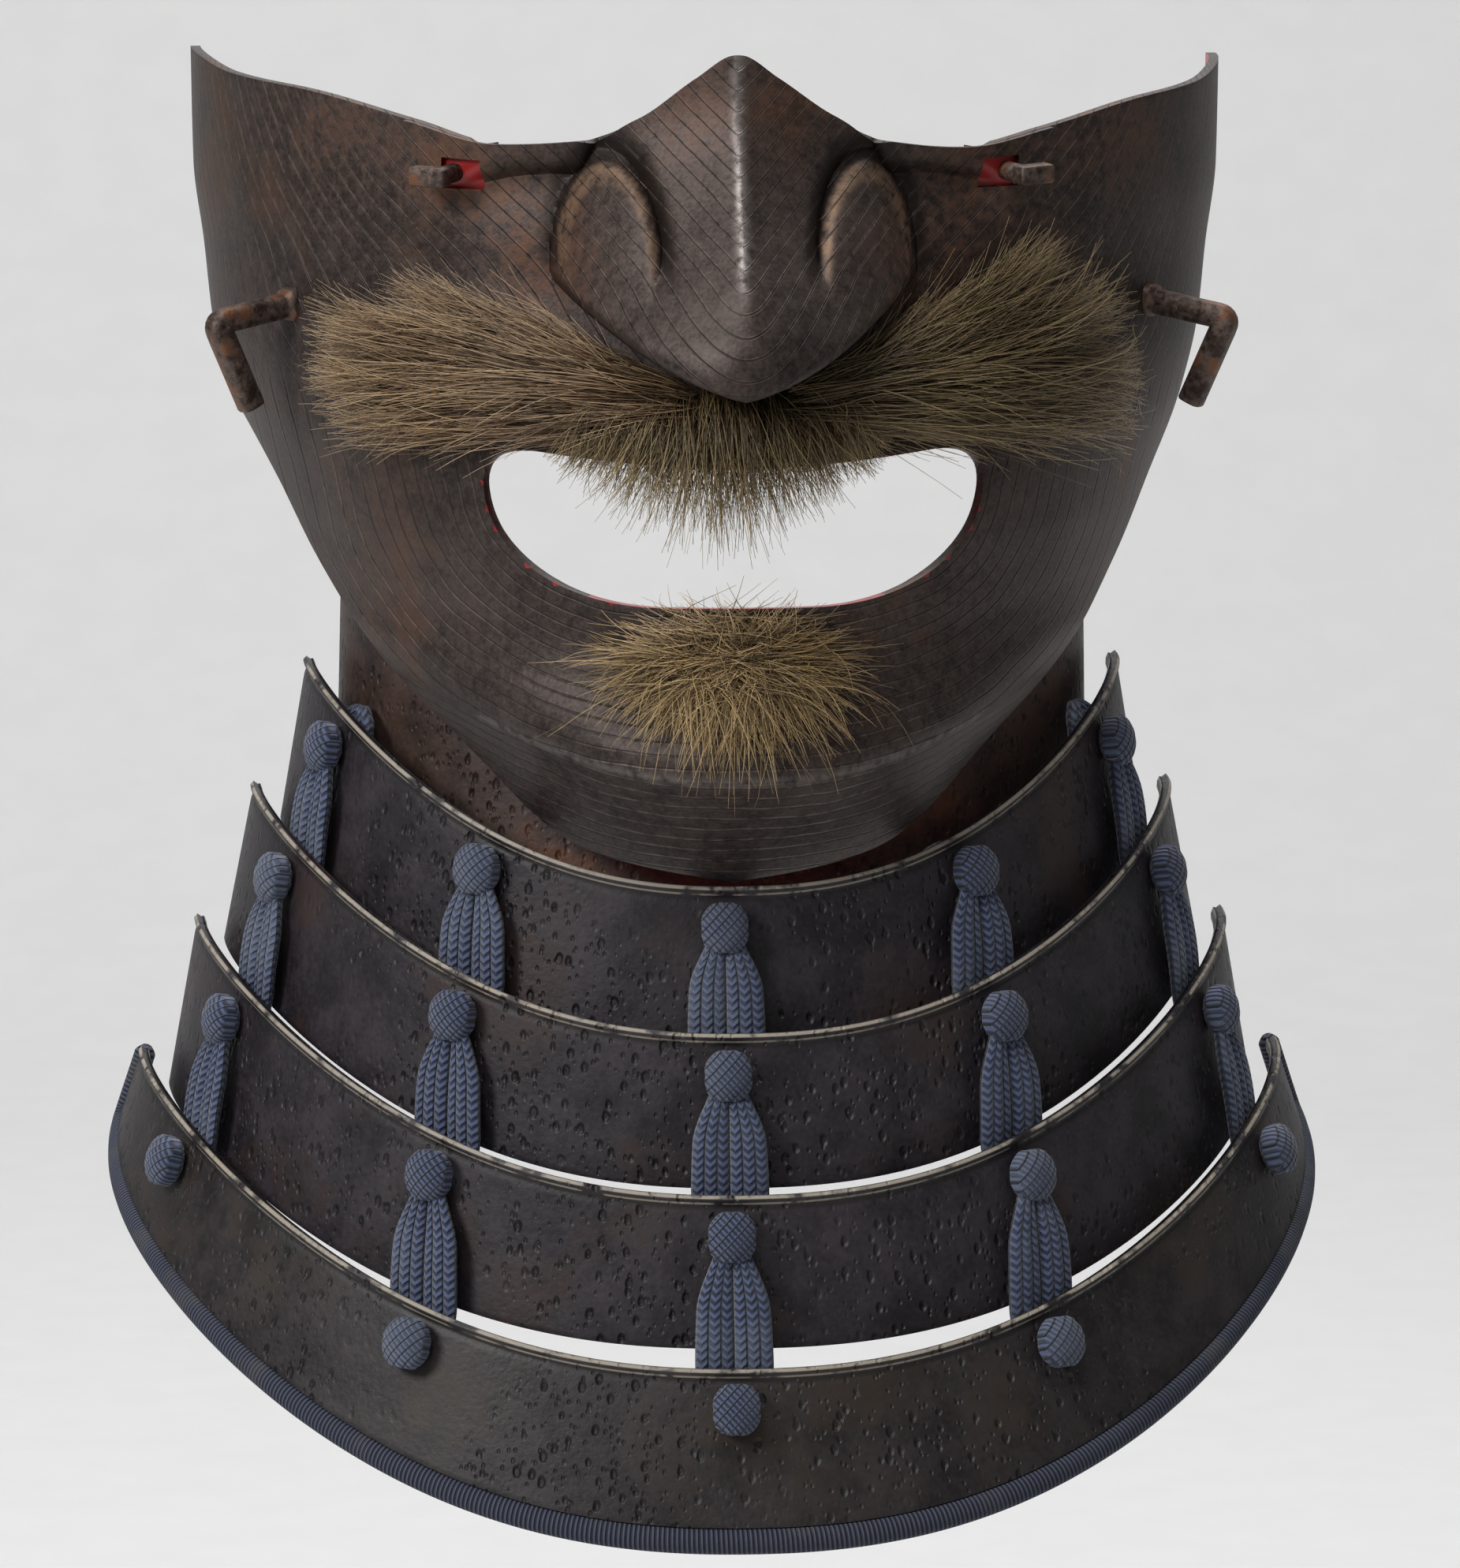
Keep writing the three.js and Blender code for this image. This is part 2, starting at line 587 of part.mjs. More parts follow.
// One ring of a lace: an oval of a width and a thickness, square to its run.
function laceRing(point, aside, out, width, thickness) {
  const sides = 6;
  return Array.from({ length: sides }, (_, i) => {
    const turn = (i / sides) * Math.PI * 2;
    return point.clone()
      .addScaledVector(aside, (Math.cos(turn) * width) / 2)
      .addScaledVector(out, (Math.sin(turn) * thickness) / 2);
  });
}

// The pair of braids that runs down one lame and tucks in behind the next. On the first lame it
// starts below the mask's jaw.
function laceBundle(upper, lower, column) {
  const angle = columnAngle(column, upper.top);
  const drop = upper.top < 0 ? 0.72 * lameFrame(upper, angle, 0).height : LACE_HOLE_DROP;
  const start = lameFrame(upper, angle, drop);
  const end = lameFrame(lower, columnAngle(column, lower.top), LACE_HOLE_DROP);
  const tuck = end.point.clone().addScaledVector(end.out, -LAME_WALL - LACE_GAP - 1.4);
  const steps = [
    { t: 0.1, width: 5, thick: 2 },
    { t: 0.42, width: 10.6, thick: 2.5 },
    { t: 0.74, width: 11.2, thick: 1.9 },
    { t: 1.1, width: 6, thick: 1.7 },
  ];
  const from = start.point.clone().addScaledVector(start.out, LACE_GAP + 1.25);
  const rings = steps.map((step) => {
    const point = from.clone().lerp(tuck, step.t);
    const out = start.out.clone().lerp(end.out, Math.min(step.t, 1)).normalize();
    return laceRing(point, start.aside, out, step.width, step.thick);
  });
  return solidOf(loftOf(rings));
}

function laceKnot(row, column) {
  const frame = lameFrame(row, columnAngle(column, row.top), LACE_HOLE_DROP);
  const knot = new THREE.SphereGeometry(1, 6, 4).scale(4, 4.4, 2.4);
  const turn = new THREE.Matrix4().makeBasis(frame.aside, frame.down, frame.out);
  turn.setPosition(frame.point.clone().addScaledVector(frame.out, LACE_GAP + 2.3));
  const ball = solidOf(knot.applyMatrix4(turn));
  const inside = frame.point.clone().addScaledVector(frame.out, -LAME_WALL - LACE_GAP - 1);
  const outside = frame.point.clone().addScaledVector(frame.out, 2);
  return ball.add(rod(inside, outside, LACE_HOLE_RADIUS - LACE_GAP - 0.2, 5));
}

function laceColumn(column) {
  const parts = LAME_ROWS.slice(1).flatMap((row, i) => [
    laceBundle(LAME_ROWS[i], row, column),
    laceKnot(row, column),
  ]);
  return geometryOf(joined(parts));
}

// The braid that is sewn round the sides and lower edge of the last lame.
function edgeBinding() {
  const row = LAME_ROWS[LAME_ROWS.length - 1];
  const surface = (u, v) => lamePoint(row, u, v);
  const stand = BINDING_RADIUS + 0.3;
  const edge = [];
  for (let j = 0; j <= 3; j += 1) edge.push([0, j / 3]);
  for (let i = 1; i < 34; i += 1) edge.push([i / 34, 1]);
  for (let j = 3; j >= 0; j -= 1) edge.push([1, j / 3]);
  const places = edge.map(([u, v]) => surface(u, v));
  const rings = places.map((place, k) => {
    const before = places[Math.max(k - 1, 0)];
    const after = places[Math.min(k + 1, places.length - 1)];
    const run = after.clone().sub(before).normalize();
    const out = normalAt(surface, edge[k][0], edge[k][1]);
    const away = run.clone().cross(out).normalize();
    const middle = place.clone().addScaledVector(away, stand).addScaledVector(out, -LAME_WALL / 2);
    return laceRing(middle, away, out, BINDING_RADIUS * 2, BINDING_RADIUS * 2);
  });
  return loftOf(rings);
}

// ---------- the hair ----------

// A tapering lock that lies over the face along a curve in the front view.
function lockOf(line, root, body, end, lift) {
  const steps = 3;
  const rings = Array.from({ length: steps + 1 }, (_, k) => {
    const t = k / steps;
    const thick = t < 0.5 ? lerp(root, body, t * 2) : lerp(body, end, (t - 0.5) ** 2 * 4);
    const here = line.getPoint(t);
    const run = line.getTangent(t);
    const frame = maskFrame(here.x, here.y);
    const way = new THREE.Vector3(run.x, 0, run.y);
    way.addScaledVector(frame.out, -way.dot(frame.out)).normalize();
    const point = frame.point.clone().addScaledVector(frame.out, lift + thick);
    return laceRing(point, way.clone().cross(frame.out), frame.out, thick * 2, thick * 2);
  });
  return solidOf(loftOf(rings));
}

// The moustache lies just clear of the nose.
function moustache() {
  const lift = PLATE_GAP + PLATE_WALL + HAIR_GAP;
  const nose = solidOf(wallOf(platePoint, PLATE_COLUMNS, PLATE_ROWS, lift, lift));
  const locks = MOUSTACHE_LOCKS.map((lock) => {
    const line = new THREE.QuadraticBezierCurve(
      new THREE.Vector2(lock.x, lock.z),
      new THREE.Vector2(lock.bendX, lock.bendZ),
      new THREE.Vector2(lock.tipX, lock.tipZ),
    );
    return lockOf(line, lock.root, lock.body, lock.end, lift);
  });
  return geometryOf(cut(joined(locks), [nose]));
}

// The chin's tuft: locks that spread all round from its middle.
function chinTuft() {
  const locks = Array.from({ length: TUFT.locks }, (_, k) => {
    const turn = (k / TUFT.locks) * Math.PI * 2 - Math.PI / 2;
    const reach = Math.sin(turn) < 0 ? TUFT.down : TUFT.up;
    const root = new THREE.Vector2(Math.cos(turn) * 0.4, TUFT.z + Math.sin(turn) * 0.4);
    const tip = new THREE.Vector2(Math.cos(turn) * TUFT.halfWidth, TUFT.z + Math.sin(turn) * reach);
    return lockOf(new THREE.LineCurve(root, tip), TUFT.root, TUFT.body, TUFT.end, HAIR_GAP);
  });
  return geometryOf(joined(locks));
}

// ---------- group ----------

const group = new THREE.Group();

function place(name, geometry, look) {
  const mesh = new THREE.Mesh(geometry, new THREE.MeshStandardMaterial(look));
  mesh.name = name;
  group.add(mesh);
}

place('mask', mask(), IRON);
place('nose_plate', nosePlate(), IRON);
place('left_turn_pin', turnPin(-1), RUSTED_IRON);
place('right_turn_pin', turnPin(1), RUSTED_IRON);
place('left_cord_peg', cordPeg(-1), RUSTED_IRON);
place('right_cord_peg', cordPeg(1), RUSTED_IRON);
for (const row of LAME_ROWS) place(row.name, lame(row), LACQUER);
for (const column of COLUMN_ROWS) place(`lace_${column.name}`, laceColumn(column), SILK);
place('edge_binding', edgeBinding(), SILK);
place('moustache', moustache(), HAIR);
place('chin_tuft', chinTuft(), HAIR);

export default group;
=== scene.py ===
import bpy
import math
import numpy as np
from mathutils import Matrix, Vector


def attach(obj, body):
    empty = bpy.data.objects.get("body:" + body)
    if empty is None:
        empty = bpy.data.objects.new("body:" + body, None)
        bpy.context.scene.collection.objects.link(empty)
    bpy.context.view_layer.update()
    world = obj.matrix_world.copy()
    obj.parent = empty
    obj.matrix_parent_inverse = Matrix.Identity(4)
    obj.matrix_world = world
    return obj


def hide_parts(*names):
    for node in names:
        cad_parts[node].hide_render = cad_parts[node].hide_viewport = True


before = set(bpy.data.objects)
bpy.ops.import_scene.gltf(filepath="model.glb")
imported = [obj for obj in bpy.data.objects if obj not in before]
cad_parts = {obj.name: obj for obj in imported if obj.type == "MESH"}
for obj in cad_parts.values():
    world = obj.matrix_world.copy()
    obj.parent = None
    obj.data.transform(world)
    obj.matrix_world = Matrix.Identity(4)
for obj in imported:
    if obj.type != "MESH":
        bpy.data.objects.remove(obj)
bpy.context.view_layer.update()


# ---------- camera, floor and light ----------
# A long lens looks a little down on the guard from its front left, so that its depth shows.
# Pale paper sweeps from the floor up behind it, and large soft lamps light it from the left.

bpy.ops.object.select_all(action="DESELECT")
bpy.ops.object.camera_add(location=(-0.0845, -1.5379, 0.2128))
camera = bpy.context.object
camera.name = "camera"
aim = Vector((0.001, -0.055, 0.004)) - camera.location
camera.rotation_euler = aim.to_track_quat("-Z", "Y").to_euler()
camera.data.lens = 216
camera.data.sensor_width = 36
bpy.context.scene.camera = camera
bpy.context.scene.view_settings.view_transform = "Standard"


class Shade:
    """A value or colour on its way through a material, so that its maths reads as plain sums."""

    def __init__(self, tree, socket=None):
        self.tree = tree
        self.socket = socket

    def node(self, kind, settings, values, output=0):
        """Any node: its type, its settings, and what goes into its sockets."""
        made = self.tree.nodes.new(kind)
        for name, setting in settings.items():
            setattr(made, name, setting)
        for name, value in values.items():
            socket = made.inputs[name]
            if isinstance(value, Shade):
                self.tree.links.new(value.socket, socket)
            elif socket.type == "RGBA":
                socket.default_value = (*value, 1)
            else:
                socket.default_value = value
        return Shade(self.tree, None if output is None else made.outputs[output])

    def maths(self, operation, *values):
        return self.node("ShaderNodeMath", {"operation": operation}, dict(enumerate(values)))

    def __add__(self, other):
        return self.maths("ADD", self, other)

    def __radd__(self, other):
        return self.maths("ADD", other, self)

    def __sub__(self, other):
        return self.maths("SUBTRACT", self, other)

    def __rsub__(self, other):
        return self.maths("SUBTRACT", other, self)

    def __mul__(self, other):
        return self.maths("MULTIPLY", self, other)

    def __rmul__(self, other):
        return self.maths("MULTIPLY", other, self)

    def __truediv__(self, other):
        return self.maths("DIVIDE", self, other)

    def __abs__(self):
        return self.maths("ABSOLUTE", self)

    def fade(self, low, high):
        """0 below low, 1 above high, and smooth between them."""
        settings = {"interpolation_type": "SMOOTHSTEP"}
        return self.node("ShaderNodeMapRange", settings, {0: self, 1: low, 2: high, 3: 0, 4: 1})

    def pick(self, off, on):
        """The colour off where this is 0, and on where it is 1."""
        settings = {"data_type": "RGBA", "clamp_factor": True}
        return self.node("ShaderNodeMix", settings, {0: self, 6: off, 7: on}, 2)

    def attribute(self, name):
        """A number that the piece's points carry."""
        return self.node("ShaderNodeAttribute", {"attribute_name": name}, {}, 2)

    def noise(self, scale, detail=2, rough=0.5, vector=None):
        """Cloudy values round a half, scale to a metre."""
        place = vector or self.node("ShaderNodeTexCoord", {}, {}, 3)
        values = {"Vector": place, "Scale": scale, "Detail": detail, "Roughness": rough}
        return self.node("ShaderNodeTexNoise", {}, values, 0)

    def bump(self, height, distance, strength=1):
        values = {"Height": height, "Distance": distance, "Strength": strength}
        return self.node("ShaderNodeBump", {}, values)

    def surface(self, **values):
        """Ends the material in one shader."""
        named = {name.replace("_", " "): value for name, value in values.items()}
        skin = self.node("ShaderNodeBsdfPrincipled", {}, named)
        self.node("ShaderNodeOutputMaterial", {}, {"Surface": skin}, None)


def new_finish(name):
    finish = bpy.data.materials.new(name)
    finish.use_nodes = True
    finish.node_tree.nodes.clear()
    return finish, Shade(finish.node_tree)


bpy.ops.mesh.primitive_plane_add(size=6, location=(0, 0.4, -0.45))
paper = bpy.context.object
paper.name = "backdrop"
bpy.ops.object.mode_set(mode="EDIT")
bpy.ops.mesh.select_all(action="DESELECT")
bpy.ops.object.mode_set(mode="OBJECT")
for edge in paper.data.edges:
    edge.select = all(paper.data.vertices[v].co.y > 0 for v in edge.vertices)
bpy.ops.object.mode_set(mode="EDIT")
bpy.ops.mesh.select_mode(type="EDGE")
bpy.ops.mesh.extrude_region_move(TRANSFORM_OT_translate={"value": (0, 0, 3)})
bpy.ops.object.mode_set(mode="OBJECT")
for edge in paper.data.edges:
    edge.select = all(
        paper.data.vertices[v].co.y > 0 and paper.data.vertices[v].co.z < 1 for v in edge.vertices
    )
bpy.ops.object.mode_set(mode="EDIT")
bpy.ops.mesh.bevel(offset=1.2, segments=24)
bpy.ops.object.mode_set(mode="OBJECT")
bpy.ops.object.shade_smooth()
paper_finish, shade = new_finish("pale_paper")
fibre = shade.noise(40, 3).fade(0.2, 0.8)
shade.surface(Base_Color=fibre.pick((0.66, 0.66, 0.66), (0.68, 0.68, 0.678)), Roughness=0.9)
paper.data.materials.append(paper_finish)


def soft_lamp(name, place, target, size, watts):
    bpy.ops.object.light_add(type="AREA", location=place)
    lamp = bpy.context.object
    lamp.name = name
    lamp.data.shape = "DISK"
    lamp.data.size = size
    lamp.data.energy = watts
    lamp.rotation_euler = (Vector(target) - lamp.location).to_track_quat("-Z", "Y").to_euler()


soft_lamp("key_lamp", (-1.5, -1.2, 1.1), (0, -0.05, 0), 0.8, 26)
soft_lamp("top_lamp", (-0.4, -0.9, 1.9), (0, -0.05, 0), 0.9, 17)
soft_lamp("back_lamp", (0.2, 0.8, 1.3), (0, 0, 0), 1.0, 8)
soft_lamp("paper_lamp", (0, 1.0, 2.2), (0, 3.2, 0.4), 1.6, 62)
world = bpy.data.worlds.new("studio")
world.use_nodes = True
world.node_tree.nodes["Background"].inputs["Color"].default_value = (1, 1, 1, 1)
world.node_tree.nodes["Background"].inputs["Strength"].default_value = 0.17
bpy.context.scene.world = world


# ---------- mask ----------
# One plate of iron hammered over a stake to cheeks, chin and a sharp crease under the chin, left
# russet outside and lacquered red inside. Fine lines are cut all over it with a chisel.

MM = 0.001


def smooth_curve(places, values):
    """A smooth curve through a table that never overshoots its rows."""
    at, value = np.array(places, float), np.array(values, float)
    chord = np.diff(value) / np.diff(at)
    product = chord[:-1] * chord[1:]
    total = np.where(product > 0, chord[:-1] + chord[1:], 1)
    slope = np.concatenate([chord[:1], np.where(product > 0, 2 * product / total, 0), chord[-1:]])

    def curve(place):
        here = np.clip(place, at[0], at[-1])
        i = np.clip(np.searchsorted(at, here, side="right") - 1, 0, len(at) - 2)
        span = at[i + 1] - at[i]
        t = (here - at[i]) / span
        start = (1 + 2 * t) * (1 - t) ** 2 * value[i] + t * (1 - t) ** 2 * span * slope[i]
        end = t * t * (3 - 2 * t) * value[i + 1] - t * t * (1 - t) * span * slope[i + 1]
        return start + end

    return curve


def smooth_step(value, low, high):
    t = np.clip((value - low) / (high - low), 0, 1)
    return t * t * (3 - 2 * t)


def mix(a, b, t):
    return a + (b - a) * t


front_depth = smooth_curve(
    [-9, -2, 4, 9, 10.8, 13, 17, 24, 31, 38, 48, 60, 72, 90, 108, 125],
    [82.5, 90, 96.6, 102.2, 104, 104.2, 102.5, 98, 96, 96, 97, 95.5, 90.5, 86, 86.5, 89],
)
half_width = smooth_curve(
    [-9, 8, 22, 31, 39, 51, 64, 74, 87, 100, 125],
    [52.5, 54.2, 61.9, 66.9, 70.1, 73.7, 78.2, 80.6, 82, 83.6, 84],
)
top_edge = smooth_curve(
    [-84, -78, -65.7, -49.5, -36.9, -23.9, -14.5, -6, 0, 6, 14.5, 23.9, 36.9, 49.5, 65.7, 78, 84],
    [118.5, 116.3, 114.8, 111, 107.9, 108.7, 112.4, 118.8, 122.4]
    + [118.8, 112.8, 108.5, 107.2, 109.5, 113, 114.5, 116.8],
)
jaw_edge = smooth_curve(
    [0, 25.6, 44.2, 57, 66.7, 73.1, 80, 90], [-7.4, -2.9, 8.6, 22.1, 39.3, 50.9, 59.5, 65]
)


def chin_rise(side, z):
    return 4.5 * (side / 0.55) ** 2.5 * (1 - smooth_step(z, 24, 50))


def eye_hollow(x, z):
    out = np.abs(x)
    above = z - (103.5 - 0.013 * (out - 27) ** 2)
    reach = smooth_step(out, 14, 24) * (1 - smooth_step(out, 35, 46))
    return 2.6 * reach * np.exp(-((above / np.where(above > 0, 1.8, 8)) ** 2))


def face_front(x, z):
    """Where the face's front is, without the nose."""
    side = np.minimum(np.abs(x) / half_width(z), 1)
    return -front_depth(z - chin_rise(side, z)) * np.sqrt(1 - side**2) + eye_hollow(x, z)


def mask_point(across, down):
    angle = (across - 0.5) * math.pi
    side = np.sin(angle)
    top = top_edge(84 * side)
    bottom = jaw_edge(np.abs(np.degrees(angle)))
    crease = np.maximum(10.8 + chin_rise(np.abs(side), 0), bottom + 2.5)
    share = 0.84
    upper = mix(top, crease, np.minimum(down / share, 1))
    z = np.where(down < share, upper, mix(crease, bottom, (down - share) / (1 - share)))
    x = half_width(z) * side
    depth = front_depth(z - chin_rise(np.abs(side), z))
    return np.stack([x, -depth * np.cos(angle) + eye_hollow(x, z), z], -1)


def points_of(piece):
    """The piece's points as rows of x, y and z, in metres."""
    flat = np.empty(len(piece.data.vertices) * 3, np.float32)
    piece.data.vertices.foreach_get("co", flat)
    return flat.reshape(-1, 3).astype(float)


def move_points(piece, points):
    piece.data.vertices.foreach_set("co", np.asarray(points, np.float32).ravel())
    piece.data.update()


def face_centres(piece):
    """The middles of the piece's faces as rows of x, y and z, in millimetres."""
    flat = np.empty(len(piece.data.polygons) * 3, np.float32)
    piece.data.polygons.foreach_get("center", flat)
    return flat.reshape(-1, 3) / MM


def formed_sheet(name, columns, rows, point_at):
    """A flat sheet of small squares, beaten into shape."""
    bpy.ops.object.select_all(action="DESELECT")
    bpy.ops.mesh.primitive_grid_add(x_subdivisions=columns, y_subdivisions=rows, size=1)
    piece = bpy.context.object
    piece.name = piece.data.name = name
    flat = points_of(piece)
    move_points(piece, point_at(flat[:, 0] + 0.5, 0.5 - flat[:, 1]) * MM)
    return piece


def finish_with(piece, kind, **settings):
    """Adds a modifier and applies it."""
    bpy.ops.object.select_all(action="DESELECT")
    piece.select_set(True)
    bpy.context.view_layer.objects.active = piece
    modifier = piece.modifiers.new(kind.lower(), kind)
    for setting, value in settings.items():
        setattr(modifier, setting, value)
    bpy.ops.object.modifier_apply(modifier=modifier.name)


def smooth_shading(piece, degrees):
    bpy.ops.object.select_all(action="DESELECT")
    piece.select_set(True)
    bpy.context.view_layer.objects.active = piece
    bpy.ops.object.shade_smooth_by_angle(angle=math.radians(degrees))


def curve_points(corners, steps):
    """Points along a curve that is pulled towards its inner corners, without its last point."""
    t = np.linspace(0, 1, steps, endpoint=False)[:, None]
    if len(corners) == 3:
        weights = [(1 - t) ** 2, 2 * t * (1 - t), t**2]
    else:
        weights = [(1 - t) ** 3, 3 * t * (1 - t) ** 2, 3 * t**2 * (1 - t), t**3]
    return sum(weight * np.array(corner, float) for weight, corner in zip(weights, corners))


half_mouth = np.concatenate([
    curve_points([(0, 58.7), (14, 59), (31, 60.9)], 24),
    curve_points([(31, 60.9), (37, 61.4), (39.4, 59), (39, 54.6)], 14),
    curve_points([(39, 54.6), (38, 44.5), (28, 37.2), (12, 37.1)], 28),
    curve_points([(12, 37.1), (6, 37.1), (0, 37.1)], 8),
    [(0, 37.1)],
])
mouth_outline = np.concatenate([half_mouth, half_mouth[-2:0:-1] * (-1, 1)])
notch_outline = np.concatenate([
    [(-37, 140)],
    curve_points([(-37, 98), (-37, 84), (-24, 72), (0, 72)], 24),
    curve_points([(0, 72), (24, 72), (37, 84), (37, 98)], 24),
    [(37, 98), (37, 140)],
])


def beside_outline(x, z, outline):
    """How far points are outside an outline in the front view, and the nearest place on it."""
    start, end = outline, np.roll(outline, -1, axis=0)
    run = end - start
    far, near = [], []
    for k in range(0, len(x), 4000):
        here = np.stack([x[k:k + 4000], z[k:k + 4000]], -1)[:, None, :]
        t = np.clip(((here - start) * run).sum(-1) / (run**2).sum(-1), 0, 1)
        place = start + run * t[..., None]
        distance = np.hypot(*np.moveaxis(here - place, -1, 0))
        best = distance.argmin(1)
        rows = np.arange(len(best))
        over = (start[:, 1] > here[..., 1]) != (end[:, 1] > here[..., 1])
        slope = np.where(np.abs(run[:, 1]) > 1e-12, run[:, 1], 1)
        crossing = start[:, 0] + (here[..., 1] - start[:, 1]) * run[:, 0] / slope
        inside = (over & (here[..., 0] < crossing)).sum(1) % 2 == 1
        far.append(np.where(inside, -1, 1) * distance[rows, best])
        near.append(place[rows, best])
    return np.concatenate(far), np.concatenate(near)


def cut_opening(piece, outline, front_at):
    """Cuts the sheet away inside an outline in the front view and files the edge to it."""
    mesh = piece.data
    centres = face_centres(piece)
    distance, _ = beside_outline(centres[:, 0], centres[:, 2], outline)
    for group in (mesh.vertices, mesh.edges, mesh.polygons):
        group.foreach_set("select", np.zeros(len(group), bool))
    mesh.polygons.foreach_set("select", distance < 0)
    bpy.ops.object.mode_set(mode="EDIT")
    bpy.ops.mesh.select_mode(type="FACE")
    bpy.ops.mesh.delete(type="FACE")
    bpy.ops.object.mode_set(mode="OBJECT")
    points = points_of(piece) / MM
    edges = np.empty(len(mesh.edges) * 2, np.int32)
    mesh.edges.foreach_get("vertices", edges)
    edges = edges.reshape(-1, 2)
    used = np.empty(len(mesh.loops), np.int32)
    mesh.loops.foreach_get("edge_index", used)
    rim = np.unique(edges[np.bincount(used, minlength=len(edges)) == 1])
    distance, near = beside_outline(points[rim, 0], points[rim, 2], outline)
    close = np.abs(distance) < 1.6
    rim, near = rim[close], near[close]
    points[rim, 0], points[rim, 2] = near[:, 0], near[:, 1]
    fixed = np.zeros(len(points), bool)
    fixed[rim] = True
    beside = np.zeros(len(points), bool)
    for _ in range(2):
        beside[edges[(fixed | beside)[edges].any(1)]] = True
    beside &= ~fixed
    for _ in range(6):
        total = np.zeros((len(points), 3))
        count = np.zeros(len(points))
        for a, b in ((0, 1), (1, 0)):
            np.add.at(total, edges[:, a], points[edges[:, b]])
            np.add.at(count, edges[:, a], 1)
        points[beside] = mix(points[beside], total[beside] / count[beside, None], 0.5)
    moved = fixed | beside
    points[moved, 1] = front_at(points[moved, 0], points[moved, 2])
    move_points(piece, points * MM)


def give(piece, name, values):
    """Writes a number on each of the piece's points for its finish to read."""
    layer = piece.data.attributes.new(name, "FLOAT", "POINT")
    layer.data.foreach_set("value", np.asarray(values, np.float32))


mask = formed_sheet("mask", 250, 118, mask_point)
cut_opening(mask, mouth_outline, face_front)
cut_opening(mask, notch_outline, face_front)
russet_iron, shade = new_finish("russet_iron")
red_lacquer, lacquer_shade = new_finish("red_lacquer")
mask.data.materials.append(russet_iron)
mask.data.materials.append(red_lacquer)
finish_with(mask, "SOLIDIFY", thickness=1.6 * MM, offset=-1, material_offset=1)
finish_with(mask, "BEVEL", width=0.35 * MM, segments=2, limit_method="ANGLE", angle_limit=0.9)

centres = face_centres(mask)
finishes = np.empty(len(mask.data.polygons), np.int32)
mask.data.polygons.foreach_get("material_index", finishes)
finishes[np.abs(beside_outline(centres[:, 0], centres[:, 2], mouth_outline)[0]) < 0.14] = 1
mask.data.polygons.foreach_set("material_index", finishes)


def wing_reach(x, z):
    """0 in the middle of the pad at a wing of the nose, and 1 at its rim."""
    return np.hypot((np.abs(x) - 20) / 7.2, (z - 91) / 14)


def iron_marks(piece):
    """Gives an iron piece what its cut lines, wear with its painted highlight, the painted shade in the
    pads' grooves and rust follow, in millimetres.
    """
    x, _, z = points_of(piece).T / MM
    out = np.abs(x)
    side = np.minimum(out / half_width(z), 1)
    arc = half_width(z) * np.arcsin(side)
    round_off = mix(6, 0.5, smooth_step(z, 74, 92))
    reach = np.sqrt(arc**2 + round_off**2) - round_off
    fan = 0.85 * reach + 0.2 * np.minimum(reach, 27) + 0.012 * np.maximum(arc - 60, 0) * (z - 92)
    give(piece, "chevron", z - fan)
    give(piece, "below_nose", 1 - smooth_step(z + 0.05 * out, 68, 76))
    open_mouth = np.concatenate([mouth_outline[55:110], [(-47, 88), (47, 88)], mouth_outline[38:55]])
    give(piece, "from_mouth", beside_outline(x, z, open_mouth)[0])
    crease = 10.8 + chin_rise(side, 0)
    give(piece, "from_crease", z - crease)
    # The nose's ridge and the chin's crease are rubbed bright and also carry a painted highlight.
    ridge = np.exp(-((x / 0.9) ** 2)) * smooth_step(z, 84, 92)
    chin = 0.35 * np.exp(-(((z - crease - 0.3) / 0.8) ** 2)) * (out < 40)
    give(piece, "worn_and_highlit", np.maximum(ridge, chin))
    wing = wing_reach(x, z)
    high = smooth_step(z, 86, 93)
    rim = smooth_step(wing, 0.76, 0.9) * (1 - smooth_step(wing, 0.99, 1.06)) * high
    give(piece, "pad_rim", rim)
    # painted shade: the groove round each pad's top and inner side is darkened as the shade in it
    inner = smooth_step(wing, 1.0, 1.1) * (1 - smooth_step(wing, 1.28, 1.5))
    give(piece, "pad_groove_shade", inner * high * (1 - smooth_step(out, 30, 40)))
    spots = [(43, 103, 9, 0.9), (30, 94, 8, 0.9), (9, 116, 9, 0.6), (62, 108, 9, 0.7), (31, 84, 7, 0.7)]
    rust = sum(
        share * np.exp(-((out - at_x) ** 2 + (z - at_z) ** 2) / wide**2)
        for at_x, at_z, wide, share in spots
    )
    give(piece, "rust", np.minimum(rust, 1))


iron_marks(mask)


def cut_lines(shade, name, spacing, width):
    """Fine chiselled lines across a field, and the burr beside each. The finish paints the lines dark as
    the shade in them, and the burrs pale as a painted highlight that is partly wear.
    """
    share = (shade.attribute(name) + (shade.noise(60, 2) - 0.5) * 1.6) / spacing
    off = (share.maths("FRACT", share) - 0.5) * spacing
    cut = 1 - abs(off).fade(width * 0.3, width)
    burr = 1 - abs(off - width * 0.85).fade(0.04, width)
    return cut, burr


